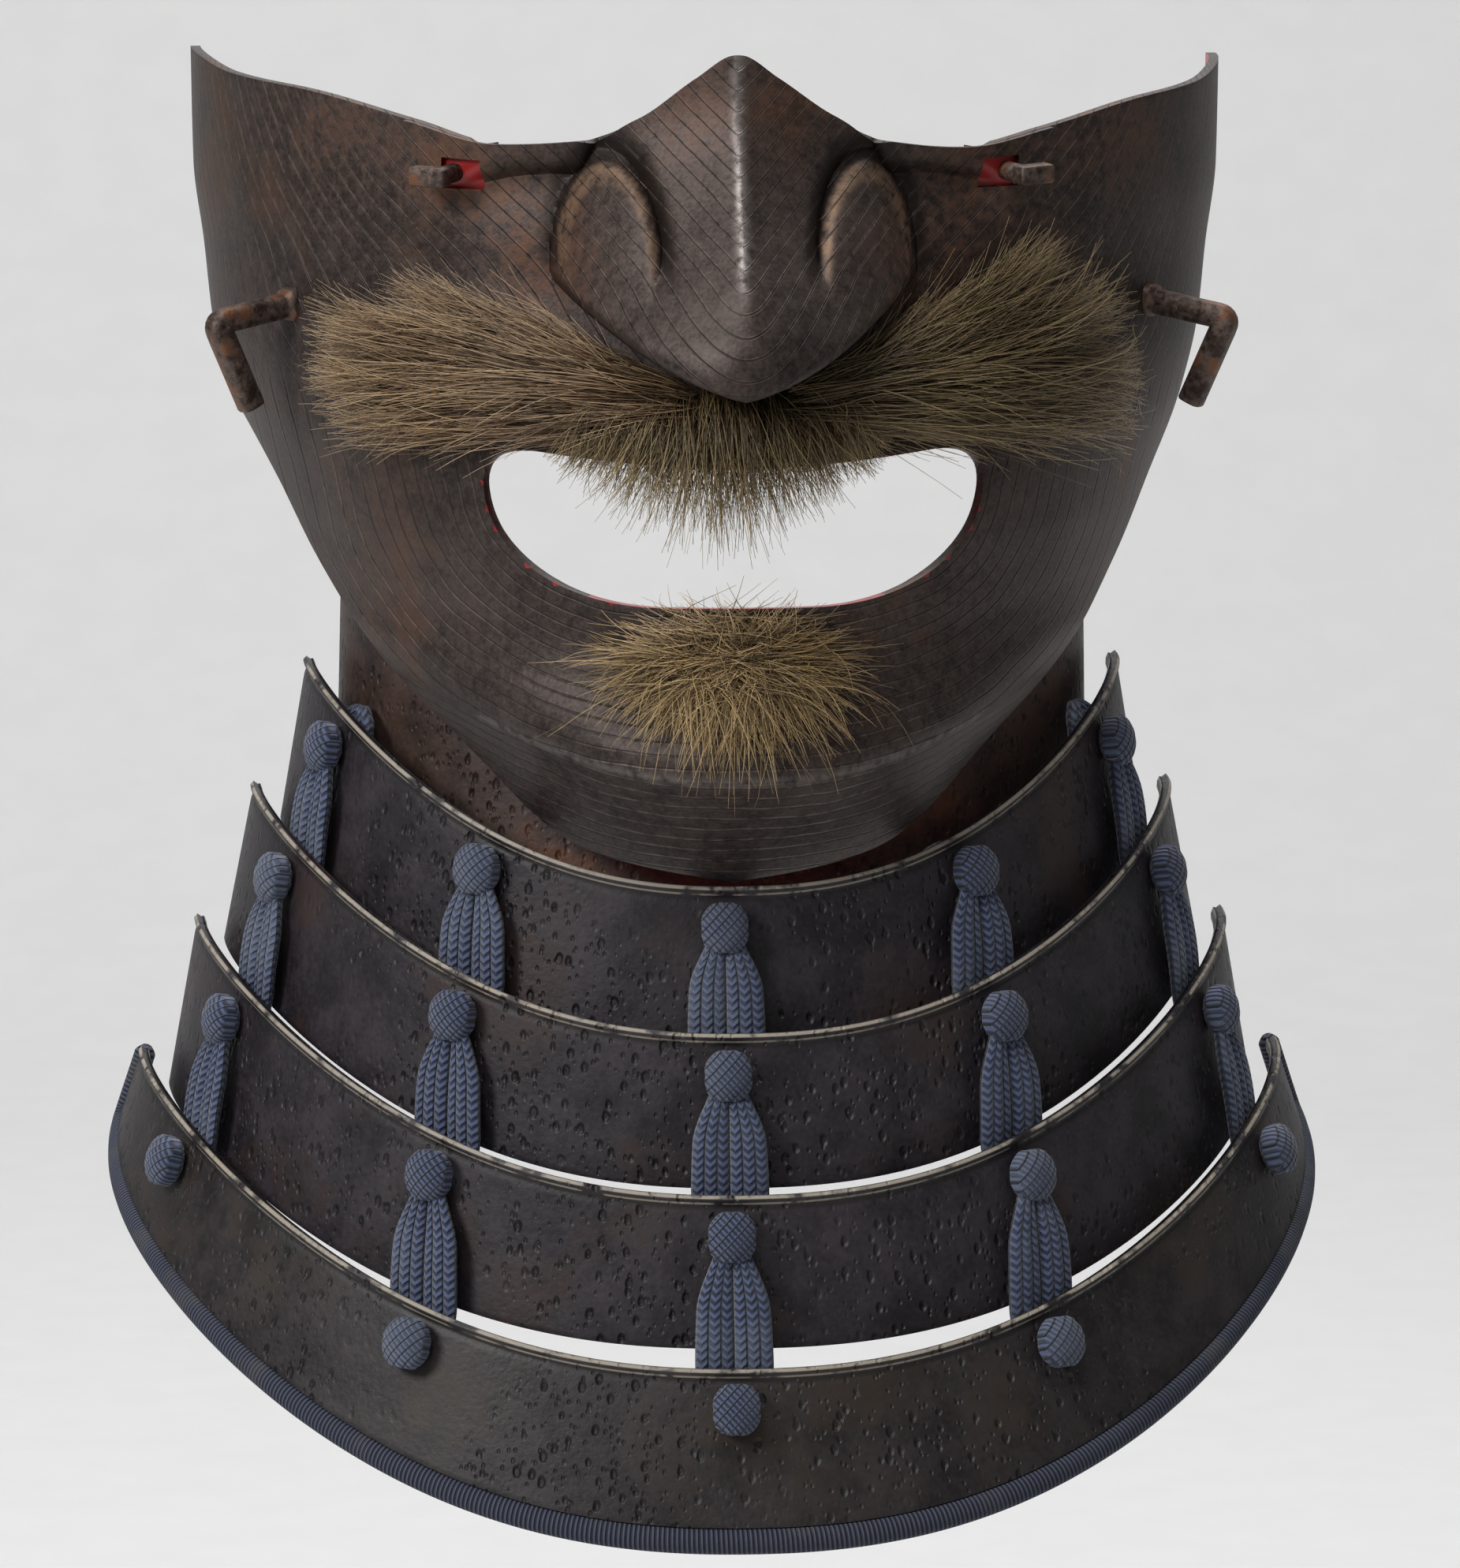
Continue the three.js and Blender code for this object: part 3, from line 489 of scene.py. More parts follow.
fine, speck = shade.noise(1500, 3, 0.6), shade.noise(520, 3, 0.6)
mottle, broad = shade.noise(70, 4, 0.6), shade.noise(16, 2)
low, under = shade.attribute("below_nose"), shade.attribute("from_crease").fade(0.4, -0.4)
faint = shade.noise(38, 2).fade(0.3, 0.62)
high_cut, high_burr = cut_lines(shade, "chevron", 3.3, 0.2)
low_cut, low_burr = cut_lines(shade, "from_mouth", 2.1, 0.2)
chin_cut, chin_burr = cut_lines(shade, "from_crease", 1.9, 0.2)
cut = high_cut * (1 - low) + low * ((1 - under) * low_cut + under * chin_cut)
burr = high_burr * (1 - low) + low * ((1 - under) * low_burr * 0.7 + under * chin_burr)
tone = (fine * 0.4 + speck * 0.35 + mottle * 0.3 + broad * 0.25 - 0.15).fade(0.3, 0.7)
ground = tone.pick((0.016, 0.010, 0.0085), (0.090, 0.066, 0.057))
rusty = shade.attribute("rust") * (speck * 0.7 + mottle * 0.6).fade(0.5, 0.85)
patina = shade.noise(26, 4, 0.65).fade(0.56, 0.72) * 0.35 + rusty * 0.75
rusted = patina.pick(ground, (0.165, 0.072, 0.036))
# painted shade: the pad's groove is coloured near black
shadowed = (shade.attribute("pad_groove_shade") * 0.85).pick(rusted, (0.012, 0.006, 0.004))
rimmed = (shade.attribute("pad_rim") * speck.fade(0.25, 0.6) * 0.75).pick(shadowed, (0.26, 0.16, 0.10))
# painted shade: the cut lines are coloured dark as the shade that falls in them
cuts_shaded = (cut * 0.6).pick(rimmed, (0.008, 0.005, 0.004))
# painted highlight: the burr on one side of each cut is coloured pale where light catches it, partly wear
burrs_highlit = (burr * faint * speck.fade(0.35, 0.6) * 0.45).pick(cuts_shaded, (0.30, 0.24, 0.21))
# painted highlight: the rubbed ridge and crease are coloured pale grey, partly wear and partly painted
# highlight
wear_and_highlight = shade.attribute("worn_and_highlit") * speck.fade(0.3, 0.6)
height = fine * 0.3 + speck * 0.3 + mottle * 0.35 - cut * 0.6 + burr * 0.2
shade.surface(
    Base_Color=(wear_and_highlight * 0.55).pick(burrs_highlit, (0.46, 0.42, 0.40)),
    Metallic=0.5 + wear_and_highlight * 0.3,
    Roughness=0.40 + speck * 0.2 + patina * 0.12 - wear_and_highlight * 0.12,
    Normal=shade.bump(height, 0.00025, 0.7),
)

shade = lacquer_shade
brushed = shade.noise(120, 3)
shade.surface(
    Base_Color=brushed.fade(0.3, 0.7).pick((0.26, 0.010, 0.012), (0.42, 0.022, 0.022)),
    Roughness=0.28 + brushed * 0.1,
    Normal=shade.bump(brushed, 0.0001, 0.4),
)
smooth_shading(mask, 50)
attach(mask, "guard")
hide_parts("mask")


# ---------- nose plate ----------
# The nose and its cheeks are one loose plate of the same iron, hammered up to a sharp ridge with
# a round pad at each wing. It laps over the mask, and slots in it drop over the turn pins.

ridge_height = smooth_curve(
    [68, 78, 84, 92, 100, 108, 116, 125], [25, 28, 26.5, 21, 14.5, 9.5, 6, 3.5]
)
nose_root = smooth_curve(
    [68, 78, 84, 92, 100, 108, 116, 125], [27.4, 27.4, 27.4, 27.2, 26, 24, 22, 20]
)
nose_fullness = smooth_curve(
    [68, 78, 84, 92, 100, 108, 116, 125], [0.58, 0.58, 0.6, 0.66, 0.8, 1.1, 1.3, 1.4]
)


def nose_foot(x):
    """The lower line of the nose, from its tip out to its wings."""
    return 71 + 0.24 * np.abs(x) + 0.0138 * x * x


def nose_height(x, z):
    out = np.abs(x)
    foot = smooth_step(z, nose_foot(x) - 0.5, nose_foot(x) + 1.5)
    blunt = mix(6, 0.25, smooth_step(z, 70, 94))
    side = np.maximum(0, 1 - (np.sqrt(out**2 + blunt**2) - blunt) / nose_root(z))
    side = np.where(out < nose_root(z), side, 0)
    wing = wing_reach(x, z)
    dome = 2.5 * np.sqrt(np.maximum(0, 1 - wing**2)) * smooth_step(z, 79, 95)
    groove = 2.9 * np.exp(-(((wing - 1.17) / 0.19) ** 2)) * smooth_step(z, 85, 94)
    inside = smooth_step(side, 0, 0.12)
    return foot * (ridge_height(z) * side ** nose_fullness(z) + (dome - groove) * inside)


def plate_point(across, down):
    out = (across - 0.5) * 2
    x = np.sign(out) * 50.2 * np.abs(out) ** 1.25
    top, bottom = top_edge(x), 66.5 + 29 * (np.abs(x) / 50.2) ** 2.3
    foot = np.minimum(nose_foot(x), (top + bottom) / 2)
    z = np.select(
        [down < 0.66, down < 0.84],
        [mix(top, foot + 1.5, down / 0.66), mix(foot + 1.5, foot - 0.5, (down - 0.66) / 0.18)],
        mix(foot - 0.5, bottom, (down - 0.84) / 0.16),
    )
    return np.stack([x, face_front(x, z) - nose_height(x, z), z], -1)


nose_plate = formed_sheet("nose_plate", 200, 130, plate_point)
nose_plate.data.materials.append(russet_iron)
nose_plate.data.materials.append(red_lacquer)
finish_with(nose_plate, "SOLIDIFY", thickness=1 * MM, offset=1.4, material_offset=1)


def cut_through(piece, cutter):
    """Cuts a piece with another, which is then thrown away."""
    finish_with(piece, "BOOLEAN", operation="DIFFERENCE", solver="FAST", object=cutter)
    bpy.data.objects.remove(cutter)


for side in (-1, 1):
    bpy.ops.object.select_all(action="DESELECT")
    bpy.ops.mesh.primitive_cylinder_add(vertices=40, radius=1, depth=1)
    nostril = bpy.context.object
    round_bar = points_of(nostril)
    lean = side * math.atan2(8, 11)
    wide, tall = round_bar[:, 0] * 7.4, round_bar[:, 1] * 2.3
    x = side * 17.2 + wide * math.cos(lean) - tall * math.sin(lean)
    z = 77.4 + wide * math.sin(lean) + tall * math.cos(lean)
    move_points(nostril, np.stack([x, -100 - round_bar[:, 2] * 80, z], -1) * MM)
    cut_through(nose_plate, nostril)


def face_frame(x, z):
    """A place on the mask's outer face, the way out of it, and the way outwards across it."""
    point = np.array([x, face_front(x, z), z], float)
    aside = np.array([0.6, face_front(x + 0.3, z) - face_front(x - 0.3, z), 0], float)
    above = np.array([0, face_front(x, z + 0.3) - face_front(x, z - 0.3), 0.6], float)
    out = np.cross(aside, above)
    out /= np.linalg.norm(out)
    arm = np.array([np.sign(x), 0, 0]) - out * out[0] * np.sign(x)
    return point, out, arm / np.linalg.norm(arm)


PIN_X, PIN_Z = 43, 103.2
for side in (-1, 1):
    point, out, arm = face_frame(side * PIN_X, PIN_Z)
    up = np.cross(out, arm)
    bpy.ops.object.select_all(action="DESELECT")
    bpy.ops.mesh.primitive_cube_add(size=1)
    slot_bar = bpy.context.object
    cube = points_of(slot_bar)
    along, aside, deep = cube[:, :1] * 6.8 - 1.55, cube[:, 1:2] * 4.8, cube[:, 2:] * 11 + 2.5
    move_points(slot_bar, (point + along * arm + aside * up + deep * out) * MM)
    cut_through(nose_plate, slot_bar)

iron_marks(nose_plate)
smooth_shading(nose_plate, 50)
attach(nose_plate, "guard")
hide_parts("nose_plate")


# ---------- turn pins ----------
# Two small forged pins lock the nose plate. Each has a riveted head inside the mask, a round
# shaft through the plate's slot, and a squared arm that is turned across it, worn bright at its end.

worn_iron, shade = new_finish("worn_iron")
speck, mottle = shade.noise(900, 3, 0.6), shade.noise(220, 3, 0.6)
tone = (speck * 0.6 + mottle * 0.6 - 0.1).fade(0.32, 0.68)
ground = tone.pick((0.030, 0.017, 0.012), (0.17, 0.125, 0.105))
rusted = mottle.fade(0.5, 0.66).pick(ground, (0.19, 0.085, 0.045))
shade.surface(
    Base_Color=rusted,
    Metallic=0.55,
    Roughness=0.42 + speck * 0.25,
    Normal=shade.bump(speck * 0.6 + mottle * 0.6, 0.0004, 0.8),
)


def block(kind, low, high):
    """A cube or a round bar between two corners, in millimetres."""
    bpy.ops.object.select_all(action="DESELECT")
    if kind == "bar":
        bpy.ops.mesh.primitive_cylinder_add(vertices=28, radius=0.5, depth=1)
    else:
        bpy.ops.mesh.primitive_cube_add(size=1)
    piece = bpy.context.object
    low, high = np.array(low, float), np.array(high, float)
    move_points(piece, (low + high) / 2 + points_of(piece) * (high - low))
    return piece


def joined(name, parts):
    bpy.ops.object.select_all(action="DESELECT")
    for part in parts:
        part.select_set(True)
    bpy.context.view_layer.objects.active = parts[0]
    bpy.ops.object.join()
    parts[0].name = parts[0].data.name = name
    return parts[0]


for name, side in (("left", -1), ("right", 1)):
    point, out, arm = face_frame(side * PIN_X, PIN_Z)
    frame_ways = np.array([arm, np.cross(out, arm), out])
    pin = joined(f"{name}_turn_pin", [
        block("bar", (-2.8, -2.8, -3.85), (2.8, 2.8, -2.75)),
        block("bar", (-1.5, -1.5, -3.2), (1.5, 1.5, 4.4)),
        block("cube", (-1.6, -1.5, 3.95), (4.6, 1.5, 6.95)),
    ])
    move_points(pin, points_of(pin) * MM)
    finish_with(pin, "BEVEL", width=0.45 * MM, segments=3, limit_method="ANGLE", angle_limit=0.6)
    move_points(pin, points_of(pin) @ frame_ways + point * MM)
    smooth_shading(pin, 40)
    pin.data.materials.append(worn_iron)
    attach(pin, f"{name}_pin")
    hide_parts(f"{name}_turn_pin")


# ---------- cord pegs ----------
# A bent peg on each cheek, forged from square rod with its corners knocked off, keeps the tying
# cord from slipping. It is riveted through the mask.


def unit(vector):
    return vector / np.linalg.norm(vector, axis=-1, keepdims=True)


def rolled_form(name, around, along, ring_at):
    """A sheet rolled up into a closed form. ring_at takes the turn and the place along it."""
    piece = formed_sheet(name, around, along, ring_at)
    bpy.ops.object.mode_set(mode="EDIT")
    bpy.ops.mesh.select_all(action="SELECT")
    bpy.ops.mesh.remove_doubles(threshold=1e-6)
    bpy.ops.mesh.normals_make_consistent(inside=False)
    bpy.ops.object.mode_set(mode="OBJECT")
    bpy.ops.object.shade_smooth()
    return piece


for name, side in (("left", -1), ("right", 1)):
    point, out, _ = face_frame(side * 68.5, 80.6)
    corner = point + out * 13.7 - (0, 0, 2.7)
    tip = corner + (-side * 5.7, 3, -14)
    base = point - out * 1.2
    before, after = unit(corner - base), unit(tip - corner)
    bend = curve_points([corner - before * 1.8, corner, corner + after * 1.8], 6)
    line = np.concatenate([[base], [corner - before * 2.2], bend, [corner + after * 2.2], [tip]])
    reach = np.concatenate([[0], np.cumsum(np.linalg.norm(np.diff(line, axis=0), axis=1))])
    plane = unit(np.cross(before, after))

    def rod_ring(turn, along):
        place = along * reach[-1]
        middle = np.stack([np.interp(place, reach, line[:, k]) for k in range(3)], -1)
        blend = smooth_step(place, reach[1], reach[-2])[:, None]
        run = unit(before * (1 - blend) + after * blend)
        thick = np.interp(place, [0, 1.9, 2.5, reach[-1] - 0.5, reach[-1]], [2.7, 2.6, 2.0, 2.0, 1.5])
        thick = thick * (np.minimum(along, 1 - along) > 1e-6)
        lean, rise = np.cos(turn * 2 * np.pi), np.sin(turn * 2 * np.pi)
        square = 1 / (np.abs(lean) ** 3.2 + np.abs(rise) ** 3.2) ** (1 / 3.2)
        flat = np.cross(run, plane)
        return middle + (thick * square * lean)[:, None] * flat + (thick * square * rise)[:, None] * plane

    peg = rolled_form(f"{name}_cord_peg", 28, 90, rod_ring)
    peg.data.materials.append(worn_iron)
    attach(peg, "guard")
    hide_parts(f"{name}_cord_peg")


# ---------- throat guard lames ----------
# Five curved strips of iron, each wider than the one above, hammered to a pitted skin and
# lacquered dark. The top edge of each is turned out into a bead that has worn bright and carries
# a painted highlight, with painted shade in the groove below it.

ring_half = smooth_curve([-1, 0, 1, 2, 3, 4], [60, 65.8, 74.5, 83.8, 93, 99.3])
ring_rear = smooth_curve([-1, 0, 1, 2, 3, 4], [-24, -20, -18, -16, -14, -12])
ring_front = smooth_curve([-1, 0, 1, 2, 3, 4], [-67, -87, -96, -104, -113, -119.4])
ring_z = smooth_curve([-1, 0, 1, 2, 3, 4], [-2, -7.6, -29.4, -53.5, -79.1, -102.9])
ring_rise = smooth_curve([-1, 0, 1, 2, 3, 4], [50, 28.3, 29.4, 31.4, 34.8, 39.5])
LAMES = [
    {"top": -1, "inset": 5, "front_inset": 15, "lift": -10.5, "side_lift": -9},
    {"top": 0, "inset": 4.2, "front_inset": 5.6, "lift": -3.4, "side_lift": -6},
    {"top": 1, "inset": 4.2, "front_inset": 5.6, "lift": 0, "side_lift": -4},
    {"top": 2, "inset": 4.2, "front_inset": 5.6, "lift": 2, "side_lift": -6},
    {"top": 3, "inset": 0, "front_inset": 0, "lift": 0, "side_lift": 0},
]


def ring_point(ring, angle, inset=0, front_inset=0, lift=0):
    reach = ring_rear(ring) - ring_front(ring) - front_inset
    x = (ring_half(ring) - inset) * np.sin(angle)
    y = ring_rear(ring) - reach * np.cos(angle)
    z = ring_z(ring) + lift + ring_rise(ring) * np.abs(np.sin(angle)) ** 2.4
    return np.stack([x, y, z], -1)


def lame_point(lame, across, down):
    angle = (np.asarray(across, float) - 0.5) * math.pi
    lift = mix(lame["lift"], lame["side_lift"], np.sin(angle) ** 2)
    top = ring_point(lame["top"], angle)
    bottom = ring_point(lame["top"] + 1, angle, lame["inset"], lame["front_inset"], lift)
    out = np.abs(angle) / (math.pi / 2)
    share = 1 - 0.42 * out**7 if lame["top"] == 3 else np.ones_like(out)
    return top + (bottom - top) * (np.asarray(down, float) * share)[..., None]


# The lames' sheets have their rows close together at the top, where the bead is.
LAME_COLUMNS, LAME_ROWS, ROW_CROWDING = 220, 40, 1.6


def beaded_point(lame, across, down):
    """The lame's face with the bead that is turned out along its top edge."""
    down = down**ROW_CROWDING
    angle = (across - 0.5) * math.pi
    place = lame_point(lame, across, down)
    from_top = np.linalg.norm(place - lame_point(lame, across, down * 0), axis=1)
    bead = 0.5 * np.exp(-(((from_top - 0.7) / 0.6) ** 2)) - 0.15 * np.exp(-(((from_top - 2) / 0.5) ** 2))
    out = np.stack([np.sin(angle), -np.cos(angle), 0 * angle], -1)
    return place + out * bead[:, None]


def lacquer_finish(name, deep, pale, stain):
    """Dark lacquer over iron that was hammered all over with a blunt punch."""
    finish, shade = new_finish(name)
    place = shade.node("ShaderNodeTexCoord", {}, {}, 3)
    tall = shade.node("ShaderNodeMapping", {}, {"Vector": place, "Scale": (1, 1, 0.62)})
    shaken = shade.noise(300, 2)
    cells = shade.node("ShaderNodeTexVoronoi", {}, {"Vector": tall, "Scale": 430, "Randomness": 1})
    small = shade.node("ShaderNodeTexVoronoi", {}, {"Vector": tall, "Scale": 800, "Randomness": 1})
    fine, mottle = shade.noise(1200, 3, 0.6), shade.noise(90, 4, 0.6)
    patches = shade.noise(28, 3)
    worked = patches.fade(0.36, 0.56)
    pit = (1 - (cells + shaken * 0.25).fade(0.24, 0.44)) * worked
    prick = (1 - (small + shaken * 0.2).fade(0.22, 0.4)) * worked * 0.5
    tone = (fine * 0.35 + mottle * 0.7 + shaken * 0.2 - 0.12).fade(0.32, 0.72)
    ground = tone.pick(deep, pale)
    stained = (shade.noise(40, 4, 0.6).fade(0.53, 0.68) * 0.8).pick(ground, stain)
    pits = pit * 0.75 + prick
    pitted = pits.maths("MINIMUM", pits, 1).pick(stained, (0.005, 0.004, 0.005))
    top = shade.attribute("from_top")
    broken = shade.noise(160, 3, 0.6).fade(0.36, 0.5)
    crown = (1 - abs(top - 0.35).fade(0.14, 0.34)) * broken
    foot = (1 - abs(top - 1.35).fade(0.08, 0.24)) * broken * 0.8
    # painted highlight: the crown and foot of the bead are coloured pale, partly wear and partly painted
    # highlight
    wear_and_highlight = crown + foot
    # painted shade: the groove under the bead is darkened as the shade in it
    groove_shade = 1 - abs(top - 2).fade(0.3, 0.75)
    beaded = (groove_shade * 0.6).pick(pitted, (0.008, 0.006, 0.006))
    shade.surface(
        Base_Color=(wear_and_highlight * 0.85).pick(beaded, (0.40, 0.35, 0.28)),
        Roughness=0.36 + mottle * 0.3,
        Specular_IOR_Level=0.45,
        Normal=shade.bump(mottle * 0.5 + fine * 0.15 - pit * 1.1 - prick, 0.0006, 0.8),
    )
    return finish


dark_lacquer = lacquer_finish(
    "dark_lacquer", (0.007, 0.005, 0.0075), (0.036, 0.029, 0.035), (0.036, 0.020, 0.018)
)
olive_lacquer = lacquer_finish(
    "olive_lacquer", (0.007, 0.005, 0.006), (0.034, 0.027, 0.028), (0.036, 0.026, 0.019)
)
rusty_lacquer = lacquer_finish(
    "rusty_lacquer", (0.018, 0.010, 0.008), (0.080, 0.045, 0.033), (0.15, 0.055, 0.022)
)
for number, lame in enumerate(LAMES, 1):
    piece = formed_sheet(
        f"lame_{number}", LAME_COLUMNS, LAME_ROWS, lambda u, v: beaded_point(lame, u, v)
    )
    row, place = np.divmod(np.arange(len(piece.data.vertices)), LAME_COLUMNS + 1)
    across, down = place / LAME_COLUMNS, (1 - row / LAME_ROWS) ** ROW_CROWDING
    heights = lame_point(lame, across, down) - lame_point(lame, across, down * 0)
    give(piece, "from_top", np.linalg.norm(heights, axis=1))
    piece.data.materials.append({1: rusty_lacquer, 5: olive_lacquer}.get(number, dark_lacquer))
    finish_with(piece, "SOLIDIFY", thickness=1.6 * MM, offset=-1)
    finish_with(piece, "BEVEL", width=0.4 * MM, segments=2, limit_method="ANGLE", angle_limit=0.9)
    smooth_shading(piece, 50)
    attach(piece, "guard")
    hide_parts(f"lame_{number}")


# ---------- silk laces ----------
# Flat braids of dark blue silk hold the lames together. They run in pairs down one lame and in
# behind the next, where they come out through a hole and end in a tight round knot.

COLUMNS = {
    "left_outer": (-67, 0),
    "left_inner": (-35.5, 1),
    "centre": (-1.5, 0.2),
    "right_inner": (33.8, -0.9),
    "right_outer": (67, 0),
}


def lame_frame(lame, angle, drop):
    """A place on a lame's face, the way out of it, down it and across it, and its height."""
    across = angle / math.pi + 0.5
    top, bottom = lame_point(lame, across, 0.0), lame_point(lame, across, 1.0)
    height = float(np.linalg.norm(bottom - top))
    here = drop / height
    right = lame_point(lame, across + 1e-3, here) - lame_point(lame, across - 1e-3, here)
    below = lame_point(lame, across, here + 1e-3) - lame_point(lame, across, here - 1e-3)
    down, out = unit(bottom - top), unit(np.cross(below, right))
    return lame_point(lame, across, here), out, down, unit(np.cross(down, out)), height


def column_angle(column, lame):
    return math.radians(column[0] + column[1] * lame["top"])


def stretch_pattern(piece, wide, long):
    """Sizes the piece's pattern map to millimetres."""
    layer = piece.data.uv_layers.active.data
    flat = np.empty(len(layer) * 2, np.float32)
    layer.foreach_get("uv", flat)
    layer.foreach_set("uv", (flat.reshape(-1, 2) * (wide, long)).astype(np.float32).ravel())


def braid(name, upper, lower, column, side):
    """One of the two flat braids that run down a lame and in behind the next."""
    angle = column_angle(column, upper)
    drop = 0.72 * lame_frame(upper, angle, 0)[4] if upper["top"] < 0 else 6.5
    point, out, _, aside, _ = lame_frame(upper, angle, drop)
    start = point + out * 1.75
    point, end_out, _, end_aside, _ = lame_frame(lower, column_angle(column, lower), 6.5)
    tuck = point - end_out * 3.5
    long = float(np.linalg.norm(tuck - start))
    width_at = smooth_curve([0.02, 0.12, 0.42, 0.74, 1.1], [3.4, 6.2, 11.6, 12.2, 7])
    thick_at = smooth_curve([0.02, 0.12, 0.42, 0.74, 1.1], [1.5, 2, 2.3, 2.0, 1.6])

    def ring_at(turn, along):
        t = mix(0.02, 1.1, along)[:, None]
        closed = np.sqrt(np.clip(np.minimum(along, 1 - along) / 0.02, 0, 1))[:, None]
        wide = width_at(t) * 0.25 * closed
        thick = thick_at(t) * 0.5 * closed
        middle = start + (tuck - start) * t + out * 0.9 * np.sin(np.pi * np.clip(t, 0, 1))
        middle = middle + aside * side * width_at(t) * 0.25
        lean = np.cos(turn * 2 * np.pi)[:, None]
        rise = np.sin(turn * 2 * np.pi)[:, None]
        rib = 0.78 + 0.3 * np.abs(np.sin(np.pi * 1.5 * (lean + 1)))
        return middle + aside * wide * lean + out * thick * rise * rib

    piece = rolled_form(name, 40, 60, ring_at)
    stretch_pattern(piece, 1, long)
    return piece


def knot(name, lame, column):
    """The round knot over a lace hole."""
    point, out, down, aside, _ = lame_frame(lame, column_angle(column, lame), 6.5)
    bpy.ops.object.select_all(action="DESELECT")
    bpy.ops.mesh.primitive_uv_sphere_add(segments=40, ring_count=24, radius=1)
    piece = bpy.context.object
    piece.name = name
    ball = points_of(piece)
    boxy = 1 / (np.abs(ball[:, :2]) ** 3).sum(1, keepdims=True).clip(0.6, None) ** (1 / 3)
    slant = (ball[:, 0] * 3.9 + ball[:, 1] * 3.9) * 0.7071
    rib = 1 + 0.05 * np.abs(np.sin(slant * math.pi / 1.3))[:, None]
    ball[:, :2] *= 0.93 * np.clip(boxy, 1, 1.12)
    ball = ball * rib
    place = point + out * 2.4
    spread = ball[:, :1] * 3.8 * aside - ball[:, 1:2] * 4.1 * down + ball[:, 2:] * 2.7 * out
    move_points(piece, (place + spread) * MM)
    bpy.ops.object.shade_smooth()
    layer = piece.data.uv_layers.active.data
    corner = np.empty(len(piece.data.loops), np.int32)
    piece.data.loops.foreach_get("vertex_index", corner)
    local = np.stack([ball[:, 0] * 3.9 + 60, ball[:, 1] * 3.9 + 60], -1)[corner]
    layer.foreach_set("uv", local.astype(np.float32).ravel())
    return piece


blue_silk, shade = new_finish("blue_silk")
knot_silk, knot_shade = new_finish("knot_silk")
for column_name, column in COLUMNS.items():
    parts = []
    for upper, lower in zip(LAMES, LAMES[1:]):
        for side in (-1, 1):
            parts.append(braid("braid", upper, lower, column, side))
            parts[-1].data.materials.append(blue_silk)
        parts.append(knot("knot", lower, column))
        parts[-1].data.materials.append(knot_silk)
    lace = joined(f"lace_{column_name}", parts)
    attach(lace, "guard")
    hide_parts(f"lace_{column_name}")


def map_parts(shade):
    """The two numbers of a piece's pattern map."""
    place = shade.node("ShaderNodeUVMap", {}, {})
    parts = shade.node("ShaderNodeSeparateXYZ", {}, {0: place})
    return [Shade(shade.tree, output) for output in parts.socket.node.outputs[:2]]


def silk_surface(shade, thread, gap):
    """Silk plaits: thread is 1 on the crown of a stitch, and gap is 1 between plaits. The crowns are
    painted lit and the gaps painted in shade.
    """
    fuzz = shade.noise(1400, 2)
    worn = shade.noise(60, 3)
    lit = thread.pick((0.010, 0.014, 0.040), (0.072, 0.098, 0.190))
    faded = (worn.fade(0.45, 0.65) * 0.35).pick(lit, (0.14, 0.165, 0.22))
    shade.surface(
        # painted shade: the gaps between plaits are coloured near black
        Base_Color=(gap * 0.85).pick(faded, (0.003, 0.004, 0.012)),
        Roughness=0.75,
        Sheen_Weight=0.25,
        Normal=shade.bump(thread * 0.7 + fuzz * 0.25 - gap * 1.2, 0.0005, 0.9),
    )


turn, run = map_parts(shade)
plait = ((turn * (2 * math.pi)).maths("COSINE", turn * (2 * math.pi)) + 1) * 1.5
off = abs(plait.maths("FRACT", plait) - 0.5)
stitch = run / 1.2 - off * 1.3
crown = 1 - abs(stitch.maths("FRACT", stitch) - 0.5).fade(0.14, 0.4)
silk_surface(shade, crown, off.fade(0.38, 0.48))
east, north = map_parts(knot_shade)
cord = (east + north) / 1.838
off = abs(cord.maths("FRACT", cord) - 0.5)
stitch = (east - north) / 1.1
crown = 1 - abs(stitch.maths("FRACT", stitch) - 0.5).fade(0.14, 0.4)
silk_surface(knot_shade, crown, off.fade(0.36, 0.48))


# ---------- edge binding ----------
# A flat braid of dark blue silk, folded over the raw edge of the lowest lame and sewn through,
# so that the iron doesn't rub the wearer's chest.

last = LAMES[-1]
steps = 260
ends = np.linspace(0, 1, 14)[:-1]
edge_across = np.concatenate([ends * 0, np.linspace(0, 1, steps), ends * 0 + 1])
edge_down = np.concatenate([ends, np.ones(steps), ends[::-1]])
edge_line = lame_point(last, edge_across, edge_down)
right = lame_point(last, np.minimum(edge_across + 1e-3, 1), edge_down)
right = right - lame_point(last, np.maximum(edge_across - 1e-3, 0), edge_down)
below = lame_point(last, edge_across, np.minimum(edge_down + 1e-3, 1))
below = below - lame_point(last, edge_across, np.maximum(edge_down - 1e-3, 0))
edge_out = unit(np.cross(below, right))
edge_run = unit(np.gradient(edge_line, axis=0))
edge_away = unit(np.cross(edge_run, edge_out))
binding_middle = edge_line + edge_away * 2.0 - edge_out * 0.8
edge_length = np.concatenate([[0], np.cumsum(np.linalg.norm(np.diff(binding_middle, axis=0), axis=1))])


def along_edge(rows, place):
    share = edge_length / edge_length[-1]
    return np.stack([np.interp(place, share, rows[:, k]) for k in range(3)], -1)


def binding_ring(turn, along):
    closed = np.sqrt(np.clip(np.minimum(along, 1 - along) / 0.004, 0, 1))[:, None]
    lean = np.cos(turn * 2 * np.pi)[:, None]
    rise = np.sin(turn * 2 * np.pi)[:, None]
    middle, away, out = (along_edge(rows, along) for rows in (binding_middle, edge_away, edge_out))
    return middle + closed * (away * 2.0 * lean + out * 1.75 * rise)


